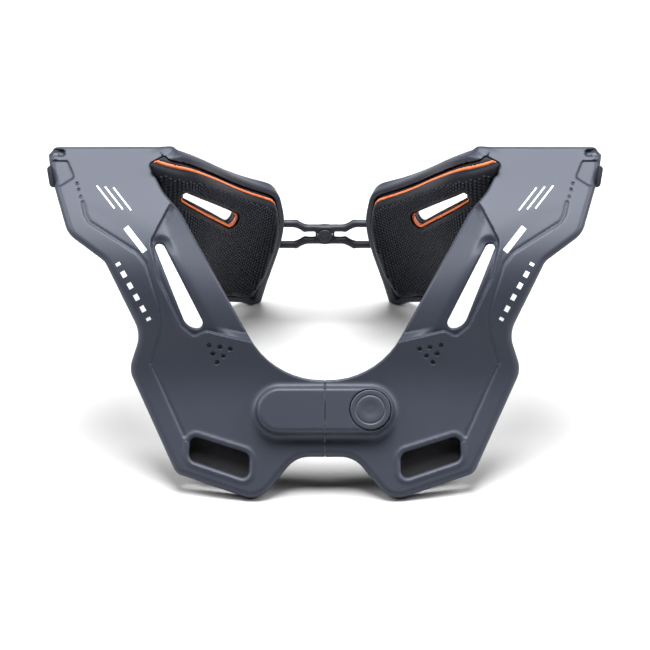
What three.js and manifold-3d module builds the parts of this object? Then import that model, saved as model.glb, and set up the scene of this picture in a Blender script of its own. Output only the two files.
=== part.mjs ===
// Motocross neck brace: two mirrored moulded half frames that ring the neck, closed at the chest by a
// latch with a round release button, and tied behind the neck by a flexible four-armed link.
// Millimetres, +Z up, +X to the right as seen from the front, -Y forward. The brace stands on its chest
// tips and its rear pads. The side at +X is called right, the side at -X left.
import * as THREE from "three";
import { mergeVertices } from "three/addons/utils/BufferGeometryUtils.js";
import Module from "manifold-3d";

const wasm = await Module();
wasm.setup();

// Driving dimensions.
const HALF_WIDTH = 143.4; // from the middle to the outer edge of a shoulder wing
const FACE_RISE = 180.6; // from the chest tip to the shoulder crest, along the drawing plane
const FACE_LEAN = 28; // degrees that the front's drawing plane leans back from upright
const FACE_DEPTH = 41; // how far the crest lies behind the drawing plane through the chest tip
const CHEST_BOW = 17; // how far the outer edge of the chest plate lies behind its middle
const WING_BOW = 5; // the same at the crest
const COLLAR_DEPTH = 85; // from the crest back to the rear wall
const WALL_FLARE = 30; // how far the rear wall's foot stands out beyond its top
const RIM_FALL = 15; // degrees that the cut edges of the rear wall fall towards the neck

const SKIN = 4.4; // wall of the front moulding, along the drawing plane's normal
const LIP_DEPTH = 7.5; // depth of the turned-in edge round the front moulding
const STRUT_STEP = 2.6; // how far the inner strut lies below the plates at its two ends
const STRUT_THICK = 8.5;
const STRUT_OVERLAP = 0.5; // how far the strut reaches under the plates
const WALL_SKIN = 3.6; // wall of the rear moulding
const TRAY_DEPTH = 9.5; // depth of the rim round the rear pad
const TRAY_RIM = 3.2; // width of that rim

const SEAM = 0.8; // gap between the two halves at the chest
const FIT = 0.3; // clearance between two pieces
const LAYER_FIT = 0.7; // clearance between the curved layers of the rear pad

const CHEST_FOAM = 8.5; // thickness of the chest pad
const FOAM = 5.2; // layers of the rear pad, from the wall towards the neck
const ACCENT = 1.7;
const GRIP = 3.9;

const BOSS_TILT = 10; // degrees that the latch boss faces up from the drawing plane's normal
const BOSS_HALF_LENGTH = 35.4;
const BOSS_HALF_HEIGHT = 12;
const BOSS_PROUD = 7.5;
const BOSS_BEVEL = 2.2;
const BOSS_ROOT = 4; // how far the boss reaches into the plate
const BUTTON_RADIUS = 10.4;
const BUTTON_THICK = 5;
const BUTTON_PROUD = 0.4;
const BUTTON_TRAVEL = 2;
const TONGUE_LENGTH = 16;
const TONGUE_HEIGHT = 8;
const TONGUE_THICK = 3;
const TONGUE_DEPTH = 5; // from the boss's face to the middle of the tongue

const LINK_BAR = 1.95; // radius of a link arm
const LINK_END_SPREAD = 6.2; // half the distance between the arms at the pads
const LINK_MID_SPREAD = 3.6; // the same beside the ring
const LINK_RING = 5;
const LINK_PIN = 3.8;
const LINK_PIN_PROUD = 0.9;
const LINK_BEND = 12.9; // from the middle to the bend of an arm
const LINK_THICK = 4.4; // front to back
const LINK_SOCKET = 3; // how deep the arms sit in the rear rims
const LINK_HEIGHT = 0.3; // share of the crest's height
const LINK_REACH = 0.14; // share of HALF_WIDTH where the arms meet the rims
const LINK_SEAT = 0.45; // share of the rim's depth where they meet it
const LINK_BEND_HALF = 2.4; // half the length of an arm's slanted part

const CLIP_THICK = 2.2;
const CLIP_DEPTH = 9;
const CLIP_PROUD = -1; // from the wing's surface to the clip's top
const CLIP_TOP = 0.948; // shares of FACE_RISE
const CLIP_LOW = 0.886;
const CLIP_ROUND = 0.9; // rounding of its outer corners, share of its thickness
const PIN_RADIUS = 1.3;
const PIN_LENGTH = 6;
const PIN_SUNK = 0.3; // below the wing's surface
const PIN_UP = 0.978; // share of FACE_RISE
const PIN_INSET = 3; // from the wing's outer edge to the pin
const RECESS_DEPTH = 1.4;
const DIMPLE_RADIUS = 1.25;
const DIMPLE_DEPTH = 2;
const DIMPLE_PITCH = 5.6;
const DIMPLE_ACROSS = 0.378; // middle of the upper row, share of HALF_WIDTH
const DIMPLE_UP = 0.429; // share of FACE_RISE
const DIMPLE_ROW = 0.8; // from one row to the next, share of the pitch
const DIMPLE_SLOPE = 0.19;
const DIMPLE_SKEW = 0.9; // each row's shift towards the outer side
const STRAP_WAY = 3; // room for the webbing behind the strap slot
const STRAP_SIDE = 2.5; // the same beside it
const STRAP_OVERLAP = 1; // how far that room reaches into the wall round the slot
const PAD_INSET = 2.5; // from the pocket's wall to the chest pad
const STRUT_CLEAR = 4; // from the long slot to the chest pad
const ACCENT_INSET = 0.5; // from the foam's edge to the orange layer's
const GRIP_INSET = 1.1;
const FLOOR_TRIM = 0.3; // the lowest edges are flat where they touch the floor

// The front's side profile: how far it lies behind the drawing plane at each height.
const PROFILE = [
  { up: -0.06, behind: -0.04 },
  { up: 0.0, behind: 0.0 },
  { up: 0.13, behind: 0.1 },
  { up: 0.25, behind: 0.195 },
  { up: 0.39, behind: 0.217 },
  { up: 0.52, behind: 0.066 },
  { up: 0.65, behind: 0.046 },
  { up: 0.775, behind: 0.273 },
  { up: 0.9, behind: 0.654 },
  { up: 1.0, behind: 1.0 },
  { up: 1.06, behind: 1.2 },
];

// Outlines on the drawing plane: across in shares of HALF_WIDTH, up in shares of FACE_RISE, and the
// corner's rounding in shares of HALF_WIDTH.
const FRONT_OUTLINE = [
  { across: 0.0, up: 0.114, round: 0 },
  { across: 0.104, up: 0.114, round: 0.1 },
  { across: 0.238, up: -0.014, round: 0.086 },
  { across: 0.537, up: 0.067, round: 0.045 },
  { across: 0.707, up: 0.364, round: 0.09 },
  { across: 0.665, up: 0.467, round: 0.11 },
  { across: 0.794, up: 0.673, round: 0.055 },
  { across: 0.928, up: 0.752, round: 0.09 },
  { across: 0.975, up: 0.88, round: 0.03 },
  { across: 1.0, up: 1.0, round: 0.028 },
  { across: 0.564, up: 1.0, round: 0.03 },
  { across: 0.628, up: 0.949, round: 0.014 },
  { across: 0.585, up: 0.874, round: 0.1 },
  { across: 0.521, up: 0.814, round: 0.06 },
  { across: 0.187, up: 0.334, round: 0.298 },
  { across: 0.0, up: 0.334, round: 0 },
];
const STRUT_OUTLINE = [
  { across: 0.56, up: 0.835, round: 0 },
  { across: 0.6, up: 0.775, round: 0.03 },
  { across: 0.628, up: 0.73, round: 0.03 },
  { across: 0.6, up: 0.62, round: 0.05 },
  { across: 0.518, up: 0.487, round: 0.05 },
  { across: 0.474, up: 0.458, round: 0.02 },
  { across: 0.428, up: 0.474, round: 0.02 },
  { across: 0.265, up: 0.443, round: 0 },
  { across: 0.22, up: 0.5, round: 0 },
  { across: 0.47, up: 0.86, round: 0 },
];
const LONG_SLOT = [
  { across: 0.617, up: 0.722, round: 0.024 },
  { across: 0.584, up: 0.723, round: 0.018 },
  { across: 0.427, up: 0.48, round: 0.025 },
  { across: 0.498, up: 0.485, round: 0.055 },
];
const STRAP_SLOT = [
  { across: 0.485, up: 0.176, round: 0.022 },
  { across: 0.271, up: 0.123, round: 0.03 },
  { across: 0.276, up: 0.049, round: 0.022 },
  { across: 0.49, up: 0.106, round: 0.03 },
];
const POCKET = [
  { across: 0.028, up: 0.139, round: 0.01 },
  { across: 0.118, up: 0.139, round: 0.09 },
  { across: 0.248, up: 0.014, round: 0.06 },
  { across: 0.522, up: 0.086, round: 0.03 },
  { across: 0.676, up: 0.366, round: 0.06 },
  { across: 0.632, up: 0.466, round: 0.1 },
  { across: 0.767, up: 0.685, round: 0.05 },
  { across: 0.905, up: 0.771, round: 0.06 },
  { across: 0.95, up: 0.9, round: 0.02 },
  { across: 0.66, up: 0.9, round: 0.02 },
  { across: 0.6, up: 0.835, round: 0.03 },
  { across: 0.655, up: 0.735, round: 0.02 },
  { across: 0.625, up: 0.615, round: 0.04 },
  { across: 0.538, up: 0.472, round: 0.04 },
  { across: 0.475, up: 0.434, round: 0.02 },
  { across: 0.428, up: 0.45, round: 0.01 },
  { across: 0.285, up: 0.4, round: 0.04 },
  { across: 0.2, up: 0.31, round: 0.25 },
  { across: 0.028, up: 0.31, round: 0.01 },
];
const CHEST_PAD_TOP = 0.6; // share of FACE_RISE where the chest pad ends
const CLIP_RECESS = [
  { across: 1.05, up: 0.965, round: 0 },
  { across: 0.93, up: 0.962, round: 0.012 },
  { across: 0.905, up: 0.915, round: 0.012 },
  { across: 0.955, up: 0.89, round: 0.01 },
  { across: 1.05, up: 0.9, round: 0 },
];

// The rear wall seen from above, from its inner end round the neck and out along the wing: across in
// shares of HALF_WIDTH, back in shares of COLLAR_DEPTH behind the crest.
const COLLAR_PLAN = [
  { across: 0.1, back: 0.945 },
  { across: 0.16, back: 0.92 },
  { across: 0.225, back: 0.86 },
  { across: 0.294, back: 0.75 },
  { across: 0.37, back: 0.59 },
  { across: 0.445, back: 0.385 },
  { across: 0.51, back: 0.165 },
  { across: 0.565, back: 0.035 },
  { across: 0.64, back: -0.015 },
  { across: 0.75, back: -0.02 },
  { across: 0.88, back: -0.015 },
  { across: 1.03, back: -0.01 },
];
// The rear wall's outer face seen from behind: height in shares of the crest's height.
const WALL_OUTLINE = [
  { across: 0.136, height: 0.527, round: 0.11 },
  { across: 0.228, height: 0.578, round: 0.2 },
  { across: 0.34, height: 0.692, round: 0.2 },
  { across: 0.55, height: 0.98, round: 0.05 },
  { across: 0.975, height: 0.97, round: 0.02 },
  { across: 0.965, height: 0.915, round: 0.02 },
  { across: 0.7, height: 0.86, round: 0.15 },
  { across: 0.614, height: 0.714, round: 0.12 },
  { across: 0.508, height: 0.401, round: 0.2 },
  { across: 0.318, height: 0.066, round: 0.1 },
  { across: 0.205, height: -0.02, round: 0.03 },
  { across: 0.156, height: -0.02, round: 0.03 },
];
const PAD_END = 0.68; // share of HALF_WIDTH where the rear pad stops, under the wing
const REAR_SLOT = [
  { across: 0.507, height: 0.785, round: 0.022 },
  { across: 0.298, height: 0.489, round: 0.022 },
  { across: 0.311, height: 0.43, round: 0.024 },
  { across: 0.525, height: 0.745, round: 0.024 },
];
const SLOT_AXIS = new THREE.Vector3(0.1, 0.91, -0.35).normalize(); // from the neck outwards

// Steps of the faceted surfaces.
const FACE_COLUMNS = 4;
const ARC_STEP = 24; // degrees, on edges that show
const HIDDEN_STEP = 45; // on edges that don't
const COLUMN_MIN = 1.2; // least distance between two columns of the rear wall
const WALL_ROWS = 3;
const FINEST = 0.05; // from an outline's end to the first column
const LEAST_ROUND = 0.2; // a smaller rounding is left sharp

// How far cuts and grids run past what they go through.
const CUT_PAST = 20;
const LAYER_PAST = 6;
const GRID_PAST = 4;
const REAR_CUT_OUT = 40;
const REAR_CUT_IN = 60;
const FACE_REACH = 160; // length of a cut through the front
const FACE_AHEAD = 0.3; // share of it that lies before the drawing plane
const BEYOND = 400; // past every face of the brace

const radians = THREE.MathUtils.degToRad;
const sinLean = Math.sin(radians(FACE_LEAN));
const cosLean = Math.cos(radians(FACE_LEAN));

// A smooth curve through the rows of a table.
function throughRows(rows, key, value) {
  const slope = (i) => {
    const a = rows[Math.max(i - 1, 0)];
    const b = rows[Math.min(i + 1, rows.length - 1)];
    return (b[value] - a[value]) / (b[key] - a[key]);
  };
  return (at) => {
    let i = rows.findIndex((row) => row[key] > at) - 1;
    if (i < 0) i = at < rows[0][key] ? 0 : rows.length - 2;
    const [a, b] = [rows[i], rows[i + 1]];
    const span = b[key] - a[key];
    const s = (at - a[key]) / span;
    const h = s * s * (3 - 2 * s);
    const rise = (s * s * s - 2 * s * s + s) * slope(i) + (s * s * s - s * s) * slope(i + 1);
    return a[value] * (1 - h) + b[value] * h + rise * span;
  };
}

const profile = throughRows(PROFILE, "up", "behind");
const plan = throughRows(COLLAR_PLAN, "across", "back");

// How far the front surface lies behind the drawing plane.
function behindPlane(across, up) {
  const share = up / FACE_RISE;
  const bow = THREE.MathUtils.lerp(CHEST_BOW, WING_BOW, THREE.MathUtils.clamp(share, 0, 1));
  return FACE_DEPTH * profile(share) + bow * (across / HALF_WIDTH) ** 2;
}

// A point given on the drawing plane and behind it.
const onFace = (across, up, behind) => [
  across,
  up * sinLean + behind * cosLean,
  up * cosLean - behind * sinLean,
];

const crestBehind = FACE_DEPTH + WING_BOW * 0.5;
const [, CREST_Y, CREST_Z] = onFace(0, FACE_RISE, crestBehind);

// Outer face of the rear wall: a point of its plan, and the level direction towards the neck.
function wallPlan(across) {
  const y = (s) => CREST_Y + COLLAR_DEPTH * plan(s);
  const share = across / HALF_WIDTH;
  const ds = 0.004;
  const tangent = new THREE.Vector2(2 * ds * HALF_WIDTH, y(share + ds) - y(share - ds)).normalize();
  return { x: across, y: y(share), inX: tangent.y, inY: -tangent.x };
}

// A point of the rear wall: inward is the depth from its outer face towards the neck. The cut edges fall
// with that depth, so a height is the one at the outer face.
const fall = Math.tan(radians(RIM_FALL));
function onWall(across, height, inward) {
  const { x, y, inX, inY } = wallPlan(across);
  const z = height - fall * inward;
  const reach = inward - WALL_FLARE * Math.max(0, 1 - z / CREST_Z) ** 2;
  return [x + inX * reach, y + inY * reach, z];
}

// A polygon's corners rounded with arcs, each limited by the sides beside it.
function rounded(corners, step = ARC_STEP) {
  const points = [];
  const count = corners.length;
  corners.forEach((corner, i) => {
    const here = new THREE.Vector2(corner.x, corner.y);
    const before = corners[(i + count - 1) % count];
    const after = corners[(i + 1) % count];
    const back = new THREE.Vector2(before.x, before.y).sub(here);
    const ahead = new THREE.Vector2(after.x, after.y).sub(here);
    const half = back.angleTo(ahead) / 2;
    const free = (side, neighbour) => side.length() * (neighbour.round > 0 ? 0.49 : 0.98);
    const room = Math.min(free(back, before), free(ahead, after)) * Math.tan(half);
    const radius = Math.min(corner.round, room);
    if (radius < LEAST_ROUND) {
      points.push(here);
      return;
    }
    back.normalize();
    ahead.normalize();
    const centre = back.clone().add(ahead).normalize().multiplyScalar(radius / Math.sin(half)).add(here);
    const start = here.clone().addScaledVector(back, radius / Math.tan(half)).sub(centre);
    const turn = (Math.PI - 2 * half) * Math.sign(back.cross(ahead));
    const steps = Math.max(1, Math.ceil(Math.abs(turn) / radians(step)));
    for (let k = 0; k <= steps; k++)
      points.push(start.clone().rotateAround(new THREE.Vector2(), (-turn * k) / steps).add(centre));
  });
  return points;
}

// A polygon moved in by a distance, side by side.
function inset(corners, distance) {
  const count = corners.length;
  const area = corners.reduce((sum, a, i) => {
    const b = corners[(i + 1) % count];
    return sum + a.x * b.y - b.x * a.y;
  }, 0);
  const inside = Math.sign(area);
  return corners.map((corner, i) => {
    const here = new THREE.Vector2(corner.x, corner.y);
    const before = corners[(i + count - 1) % count];
    const after = corners[(i + 1) % count];
    const from = here.clone().sub(new THREE.Vector2(before.x, before.y)).normalize();
    const to = new THREE.Vector2(after.x, after.y).sub(here).normalize();
    const normalFrom = new THREE.Vector2(-from.y, from.x).multiplyScalar(inside);
    const normalTo = new THREE.Vector2(-to.y, to.x).multiplyScalar(inside);
    const stretch = distance / (1 + normalFrom.dot(normalTo));
    const shift = normalFrom.clone().add(normalTo).multiplyScalar(stretch);
    const convex = from.cross(to) * inside > 0;
    const round = Math.max(0, corner.round + (convex ? -distance : distance));
    return { x: here.x + shift.x, y: here.y + shift.y, round };
  });
}

const faceCorners = (table) =>
  table.map((row) => ({
    x: row.across * HALF_WIDTH,
    y: row.up * FACE_RISE,
    round: row.round * HALF_WIDTH,
  }));
const wallCorners = (table) =>
  table.map((row) => ({
    x: row.across * HALF_WIDTH,
    y: row.height * CREST_Z,
    round: row.round * HALF_WIDTH,
  }));
const range = (from, to, steps) =>
  Array.from({ length: steps + 1 }, (_, i) => from + ((to - from) * i) / steps);

// A closed set of triangles as a solid, its faces turned out.
function closed(vertices, triangles) {
  const vertProperties = new Float32Array(vertices);
  const make = (triVerts) => new wasm.Manifold(new wasm.Mesh({ numProp: 3, vertProperties, triVerts }));
  const made = make(new Uint32Array(triangles));
  if (made.volume() > 0) return made;
  const turned = [];
  for (let i = 0; i < triangles.length; i += 3)
    turned.push(triangles[i], triangles[i + 2], triangles[i + 1]);
  return make(new Uint32Array(turned));
}

// A curved plate: a grid of points on each of its two faces, sewn round the edge.
function plate(columns, rows, point) {
  const vertices = [];
  for (const face of [0, 1])
    for (const v of rows) for (const u of columns) vertices.push(...point(u, v, face));
  const [nu, nv] = [columns.length, rows.length];
  const at = (i, j, face) => (face * nv + j) * nu + i;
  const triangles = [];
  const quad = (a, b, c, d) => triangles.push(a, b, c, a, c, d);
  for (let j = 0; j + 1 < nv; j++)
    for (let i = 0; i + 1 < nu; i++) {
      quad(at(i, j, 0), at(i + 1, j, 0), at(i + 1, j + 1, 0), at(i, j + 1, 0));
      quad(at(i, j, 1), at(i, j + 1, 1), at(i + 1, j + 1, 1), at(i + 1, j, 1));
    }
  for (let i = 0; i + 1 < nu; i++) {
    quad(at(i, 0, 0), at(i, 0, 1), at(i + 1, 0, 1), at(i + 1, 0, 0));
    quad(at(i, nv - 1, 0), at(i + 1, nv - 1, 0), at(i + 1, nv - 1, 1), at(i, nv - 1, 1));
  }
  for (let j = 0; j + 1 < nv; j++) {
    quad(at(0, j, 0), at(0, j + 1, 0), at(0, j + 1, 1), at(0, j, 1));
    quad(at(nu - 1, j, 0), at(nu - 1, j, 1), at(nu - 1, j + 1, 1), at(nu - 1, j + 1, 0));
  }
  return closed(vertices, triangles);
}

// A straight prism on a polygon: point gives each corner's place at its two ends.
function prism(points, point) {
  const count = points.length;
  const vertices = [];
  for (const end of [0, 1]) for (const p of points) vertices.push(...point(p, end));
  const triangles = [];
  for (const [a, b, c] of THREE.ShapeUtils.triangulateShape(points, [])) {
    triangles.push(a, b, c);
    triangles.push(count + a, count + c, count + b);
  }
  const turn = THREE.ShapeUtils.isClockWise(points) ? 1 : -1;
  for (let i = 0; i < count; i++) {
    const j = (i + 1) % count;
    if (turn > 0) triangles.push(i, j, count + j, i, count + j, count + i);
    else triangles.push(i, count + j, j, i, count + i, count + j);
  }
  return closed(vertices, triangles);
}

// A three.js geometry as a solid.
function solidOf(geometry) {
  const bare = geometry.index ? geometry.toNonIndexed() : geometry.clone();
  bare.deleteAttribute("normal");
  bare.deleteAttribute("uv");
  const merged = mergeVertices(bare, 1e-3);
  return closed(merged.attributes.position.array, merged.index.array);
}

// A solid as a mesh; side is -1 for a mirrored copy.
function meshOf(name, solid, material, side) {
  const { vertProperties, triVerts } = solid.getMesh();
  const positions = Float32Array.from(vertProperties, (value, i) => (i % 3 === 0 ? value * side : value));
  const other = (i) => (i % 3 === 0 ? i : i + 3 - 2 * (i % 3)); // turns a triangle round
  const index = Uint32Array.from(triVerts, (value, i) => (side > 0 ? value : triVerts[other(i)]));
  const geometry = new THREE.BufferGeometry();
  geometry.setAttribute("position", new THREE.BufferAttribute(positions, 3));
  geometry.setIndex(new THREE.BufferAttribute(index, 1));
  geometry.computeVertexNormals();
  const mesh = new THREE.Mesh(geometry, material);
  mesh.name = name;
  return mesh;
}

const FACE_ROWS = PROFILE.slice(1)
  .flatMap((row, i) => [(row.up + PROFILE[i].up) / 2, row.up])
  .slice(0, -1)
  .map((share) => share * FACE_RISE);
// A layer of the front, between two depths behind its surface.
const faceLayer = (from, to) =>
  plate(
    range(-GRID_PAST, HALF_WIDTH + GRID_PAST, FACE_COLUMNS),
    FACE_ROWS,
    (u, v, face) => onFace(u, v, behindPlane(u, v) + (face ? to : from)),
  );
const throughFace = (points) =>
  prism(points, (p, end) => onFace(p.x, p.y, (end - FACE_AHEAD) * FACE_REACH));
const faceCut = (corners, step) => throughFace(rounded(corners, step));

// Lowest and highest point of an outline at a place across it.
function spanAt(points, x) {
  const heights = points.flatMap((a, i) => {
    const b = points[(i + 1) % points.length];
    if (Math.min(a.x, b.x) > x || Math.max(a.x, b.x) < x || a.x === b.x) return [];
    return [THREE.MathUtils.lerp(a.y, b.y, (x - a.x) / (b.x - a.x))];
  });
  return [Math.min(...heights), Math.max(...heights)];
}
// Columns of the rear wall, the same for all its layers: the plan's rows and the places halfway.
const WALL_COLUMNS = COLLAR_PLAN.slice(1)
  .flatMap((row, i) => [(row.across + COLLAR_PLAN[i].across) / 2, row.across])
  .map((share) => share * HALF_WIDTH);
// A layer of the rear wall inside an outline, between two depths from its outer face.
function wallLayer(corners, from, to) {
  const points = rounded(corners);
  const places = points.map((p) => p.x);
  const first = Math.min(...places) + FINEST;
  const last = Math.max(...places) - FINEST;
  const between = WALL_COLUMNS.filter((x) => x > first + COLUMN_MIN && x < last - COLUMN_MIN);
  return plate([first, ...between, last], range(0, 1, WALL_ROWS), (u, v, face) => {
    const [low, high] = spanAt(points, u);
    return onWall(u, THREE.MathUtils.lerp(low, high, v), face ? to : from);
  });
}
function slotCut(corners) {
  return prism(rounded(corners), (p, end) => {
    const from = new THREE.Vector3(...onWall(p.x, p.y, 0));
    return from.addScaledVector(SLOT_AXIS, end ? REAR_CUT_OUT : -REAR_CUT_IN).toArray();
  });
}

function box(x0, x1, y0, y1, z0, z1) {
  const geometry = new THREE.BoxGeometry(x1 - x0, y1 - y0, z1 - z0);
  return solidOf(geometry.translate((x0 + x1) / 2, (y0 + y1) / 2, (z0 + z1) / 2));
}
const ownSide = box(SEAM / 2, BEYOND, -BEYOND, BEYOND, -BEYOND, BEYOND);

// The chest tips and the rear wall's feet end on one level.
const tip = FRONT_OUTLINE[2].across * HALF_WIDTH;
const floorZ = onFace(tip, 0, behindPlane(tip, 0) + LIP_DEPTH)[2] + FLOOR_TRIM;
const belowFloor = box(-BEYOND, BEYOND, -BEYOND, BEYOND, floorZ - BEYOND, floorZ);

// The latch boss stands square on a plane of its own: x across, y up that plane, z out of it.
const bossUp = 0.243 * FACE_RISE;
const bossMatrix = new THREE.Matrix4()
  .makeTranslation(...onFace(0, bossUp, behindPlane(0, bossUp)))
  .multiply(new THREE.Matrix4().makeRotationX(radians(90 - FACE_LEAN - BOSS_TILT)));
const onBoss = (geometry) => solidOf(geometry.applyMatrix4(bossMatrix));

function stadium(halfLength, halfHeight) {
  const shape = new THREE.Shape();
  const straight = halfLength - halfHeight;
  shape.absarc(straight, 0, halfHeight, -Math.PI / 2, Math.PI / 2);
  shape.absarc(-straight, 0, halfHeight, Math.PI / 2, (3 * Math.PI) / 2);
  return shape;
}
function bossSolid() {
  const shape = stadium(BOSS_HALF_LENGTH - BOSS_BEVEL, BOSS_HALF_HEIGHT - BOSS_BEVEL);
  const geometry = new THREE.ExtrudeGeometry(shape, {
    depth: BOSS_PROUD + BOSS_ROOT - 2 * BOSS_BEVEL,
    bevelSize: BOSS_BEVEL,
    bevelThickness: BOSS_BEVEL,
    bevelSegments: 2,
    curveSegments: 8,
  });
  return onBoss(geometry.translate(0, 0, BOSS_BEVEL - BOSS_ROOT));
}
const buttonX = BOSS_HALF_LENGTH - BOSS_HALF_HEIGHT;
function buttonCylinder(radius, bottom, top) {
  const geometry = new THREE.CylinderGeometry(radius, radius, top - bottom, 32).rotateX(Math.PI / 2);
  return onBoss(geometry.translate(buttonX, 0, (top + bottom) / 2));
}
function tongueBox(gap) {
  const sizes = [TONGUE_LENGTH, TONGUE_HEIGHT, TONGUE_THICK].map((size) => size + 2 * gap);
  return onBoss(new THREE.BoxGeometry(...sizes).translate(0, 0, BOSS_PROUD - TONGUE_DEPTH));
}

// The rear link lies in an upright plane at the middle of the rear rims.
const linkZ = LINK_HEIGHT * CREST_Z;
const linkSeat = LINK_SEAT * TRAY_DEPTH;
const rimMiddle = (z) => onWall(LINK_REACH * HALF_WIDTH, z + fall * linkSeat, linkSeat);
const linkY = rimMiddle(linkZ)[1];
function linkArm(side, grow) {
  const endZ = linkZ + side * LINK_END_SPREAD;
  const midZ = linkZ + side * LINK_MID_SPREAD;
  const reach = rimMiddle(endZ)[0] + LINK_SOCKET + grow;
  const at = (x, z) => new THREE.Vector3(x, linkY, z);
  const half = [
    at(0, midZ),
    at(LINK_BEND - LINK_BEND_HALF, midZ),
    at(LINK_BEND + LINK_BEND_HALF, endZ),
    at(reach, endZ),
  ];
  const points = [...half.slice(1).reverse().map((p) => at(-p.x, p.z)), ...half];
  return barAlong(points, LINK_BAR + grow);
}
// A round bar through points of one upright plane, mitred at each bend.
function barAlong(points, radius) {
  const sides = 8;
  const vertices = [];
  points.forEach((p, i) => {
    const before = points[Math.max(i - 1, 0)];
    const after = points[Math.min(i + 1, points.length - 1)];
    const from = p.clone().sub(before).normalize();
    const to = after.clone().sub(p).normalize();
    const along = from.clone().add(to).normalize();
    const mitre = 1 / along.dot(to.length() > 0 ? to : from);
    for (let k = 0; k < sides; k++) {
      const angle = (2 * Math.PI * (k + 0.5)) / sides;
      const across = Math.cos(angle) * radius * mitre;
      vertices.push(p.x - along.z * across, p.y + Math.sin(angle) * radius, p.z + along.x * across);
    }
  });
  const triangles = [];
  for (let i = 0; i + 1 < points.length; i++)
    for (let k = 0; k < sides; k++) {
      const [a, b] = [i * sides + k, i * sides + ((k + 1) % sides)];
      triangles.push(a, b, b + sides, a, b + sides, a + sides);
    }
  const last = (points.length - 1) * sides;
  for (let k = 1; k + 1 < sides; k++) {
    triangles.push(0, k + 1, k);
    triangles.push(last, last + k, last + k + 1);
  }
  return closed(vertices, triangles);
}

// The front moulding of one side, to the right of the seam.
function frontSolid() {
  const outline = faceCorners(FRONT_OUTLINE);
  outline[0].x = outline.at(-1).x = SEAM / 2;
  const strutCorners = faceCorners(STRUT_OUTLINE);
  const strut = faceCut(strutCorners);
  const whole = faceLayer(0, LIP_DEPTH).intersect(faceCut(outline));
  const plates = whole.subtract(strut);
  const strutBar = faceLayer(STRUT_STEP, STRUT_STEP + STRUT_THICK)
    .intersect(faceCut(outline))
    .intersect(faceCut(inset(strutCorners, -STRUT_OVERLAP)));
  const pocket = faceLayer(SKIN, LIP_DEPTH + CUT_PAST).intersect(faceCut(faceCorners(POCKET), HIDDEN_STEP));
  return plates
    .add(strutBar)
    .subtract(pocket)
    .subtract(faceCut(faceCorners(LONG_SLOT)))
    .subtract(faceCut(faceCorners(STRAP_SLOT)))
    .subtract(faceLayer(-CUT_PAST, RECESS_DEPTH).intersect(faceCut(faceCorners(CLIP_RECESS))));
}

// The rear moulding: a wall with a rim that holds the pad.
function rearSolid() {
  const outline = wallCorners(WALL_OUTLINE);
  const tray = wallLayer(inset(outline, TRAY_RIM), WALL_SKIN, TRAY_DEPTH + LAYER_PAST);
  return wallLayer(outline, 0, TRAY_DEPTH).subtract(tray).subtract(slotCut(wallCorners(REAR_SLOT)));
}

// The room that the front moulding takes, with a clearance round it.
function frontRoom() {
  const outline = faceCorners(FRONT_OUTLINE);
  outline[0].x = outline.at(-1).x = -GRID_PAST;
  return faceLayer(-CUT_PAST, LIP_DEPTH + FIT).intersect(faceCut(inset(outline, -FIT), HIDDEN_STEP));
}

// One layer of the rear pad.
function padLayer(from, thick, shrink) {
  const outline = inset(wallCorners(WALL_OUTLINE), TRAY_RIM + FIT + shrink);
  return wallLayer(outline, from, from + thick)
    .intersect(box(0, PAD_END * HALF_WIDTH, -BEYOND, BEYOND, -BEYOND, BEYOND))
    .subtract(frontRoom())
    .subtract(slotCut(wallCorners(REAR_SLOT)));
}

// The outer edge of a wing: how far across it lies at a height on the drawing plane.
function wingEdge(up) {
  const [low, high] = FRONT_OUTLINE.slice(8, 10);
  return THREE.MathUtils.mapLinear(up, low.up, high.up, low.across, high.across) * HALF_WIDTH;
}
const pinUp = PIN_UP * FACE_RISE;
const pinAcross = wingEdge(PIN_UP) - PIN_INSET;
function pinPrism(grow, start, length) {
  const circle = range(0, 11, 11).map((k) => {
    const angle = (Math.PI * k) / 6;
    return new THREE.Vector2(Math.cos(angle), Math.sin(angle))
      .multiplyScalar(PIN_RADIUS + grow)
      .add(new THREE.Vector2(pinAcross, pinUp));
  });
  const top = behindPlane(pinAcross, pinUp) + start;
  return prism(circle, (p, end) => onFace(p.x, p.y, top + end * length));
}
// A straight-walled block on the drawing plane, between two depths behind the surface at its middle.
function faceBlock(corners, from, to) {
  const middle = (key) => corners.reduce((sum, corner) => sum + corner[key] / corners.length, 0);
  const base = behindPlane(middle("x"), middle("y"));
  return prism(rounded(corners), (p, end) => onFace(p.x, p.y, base + (end ? to : from)));
}
function clipSolid() {
  const inner = (up) => wingEdge(up) + FIT;
  const corners = [
    { x: inner(CLIP_TOP), y: CLIP_TOP * FACE_RISE, round: 0 },
    { x: inner(CLIP_LOW), y: CLIP_LOW * FACE_RISE, round: 0 },
    { x: inner(CLIP_LOW) + CLIP_THICK, y: CLIP_LOW * FACE_RISE, round: CLIP_THICK * CLIP_ROUND },
    { x: inner(CLIP_TOP) + CLIP_THICK, y: CLIP_TOP * FACE_RISE, round: CLIP_THICK * CLIP_ROUND },
  ];
  return faceBlock(corners, CLIP_PROUD, CLIP_PROUD + CLIP_DEPTH);
}

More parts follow.
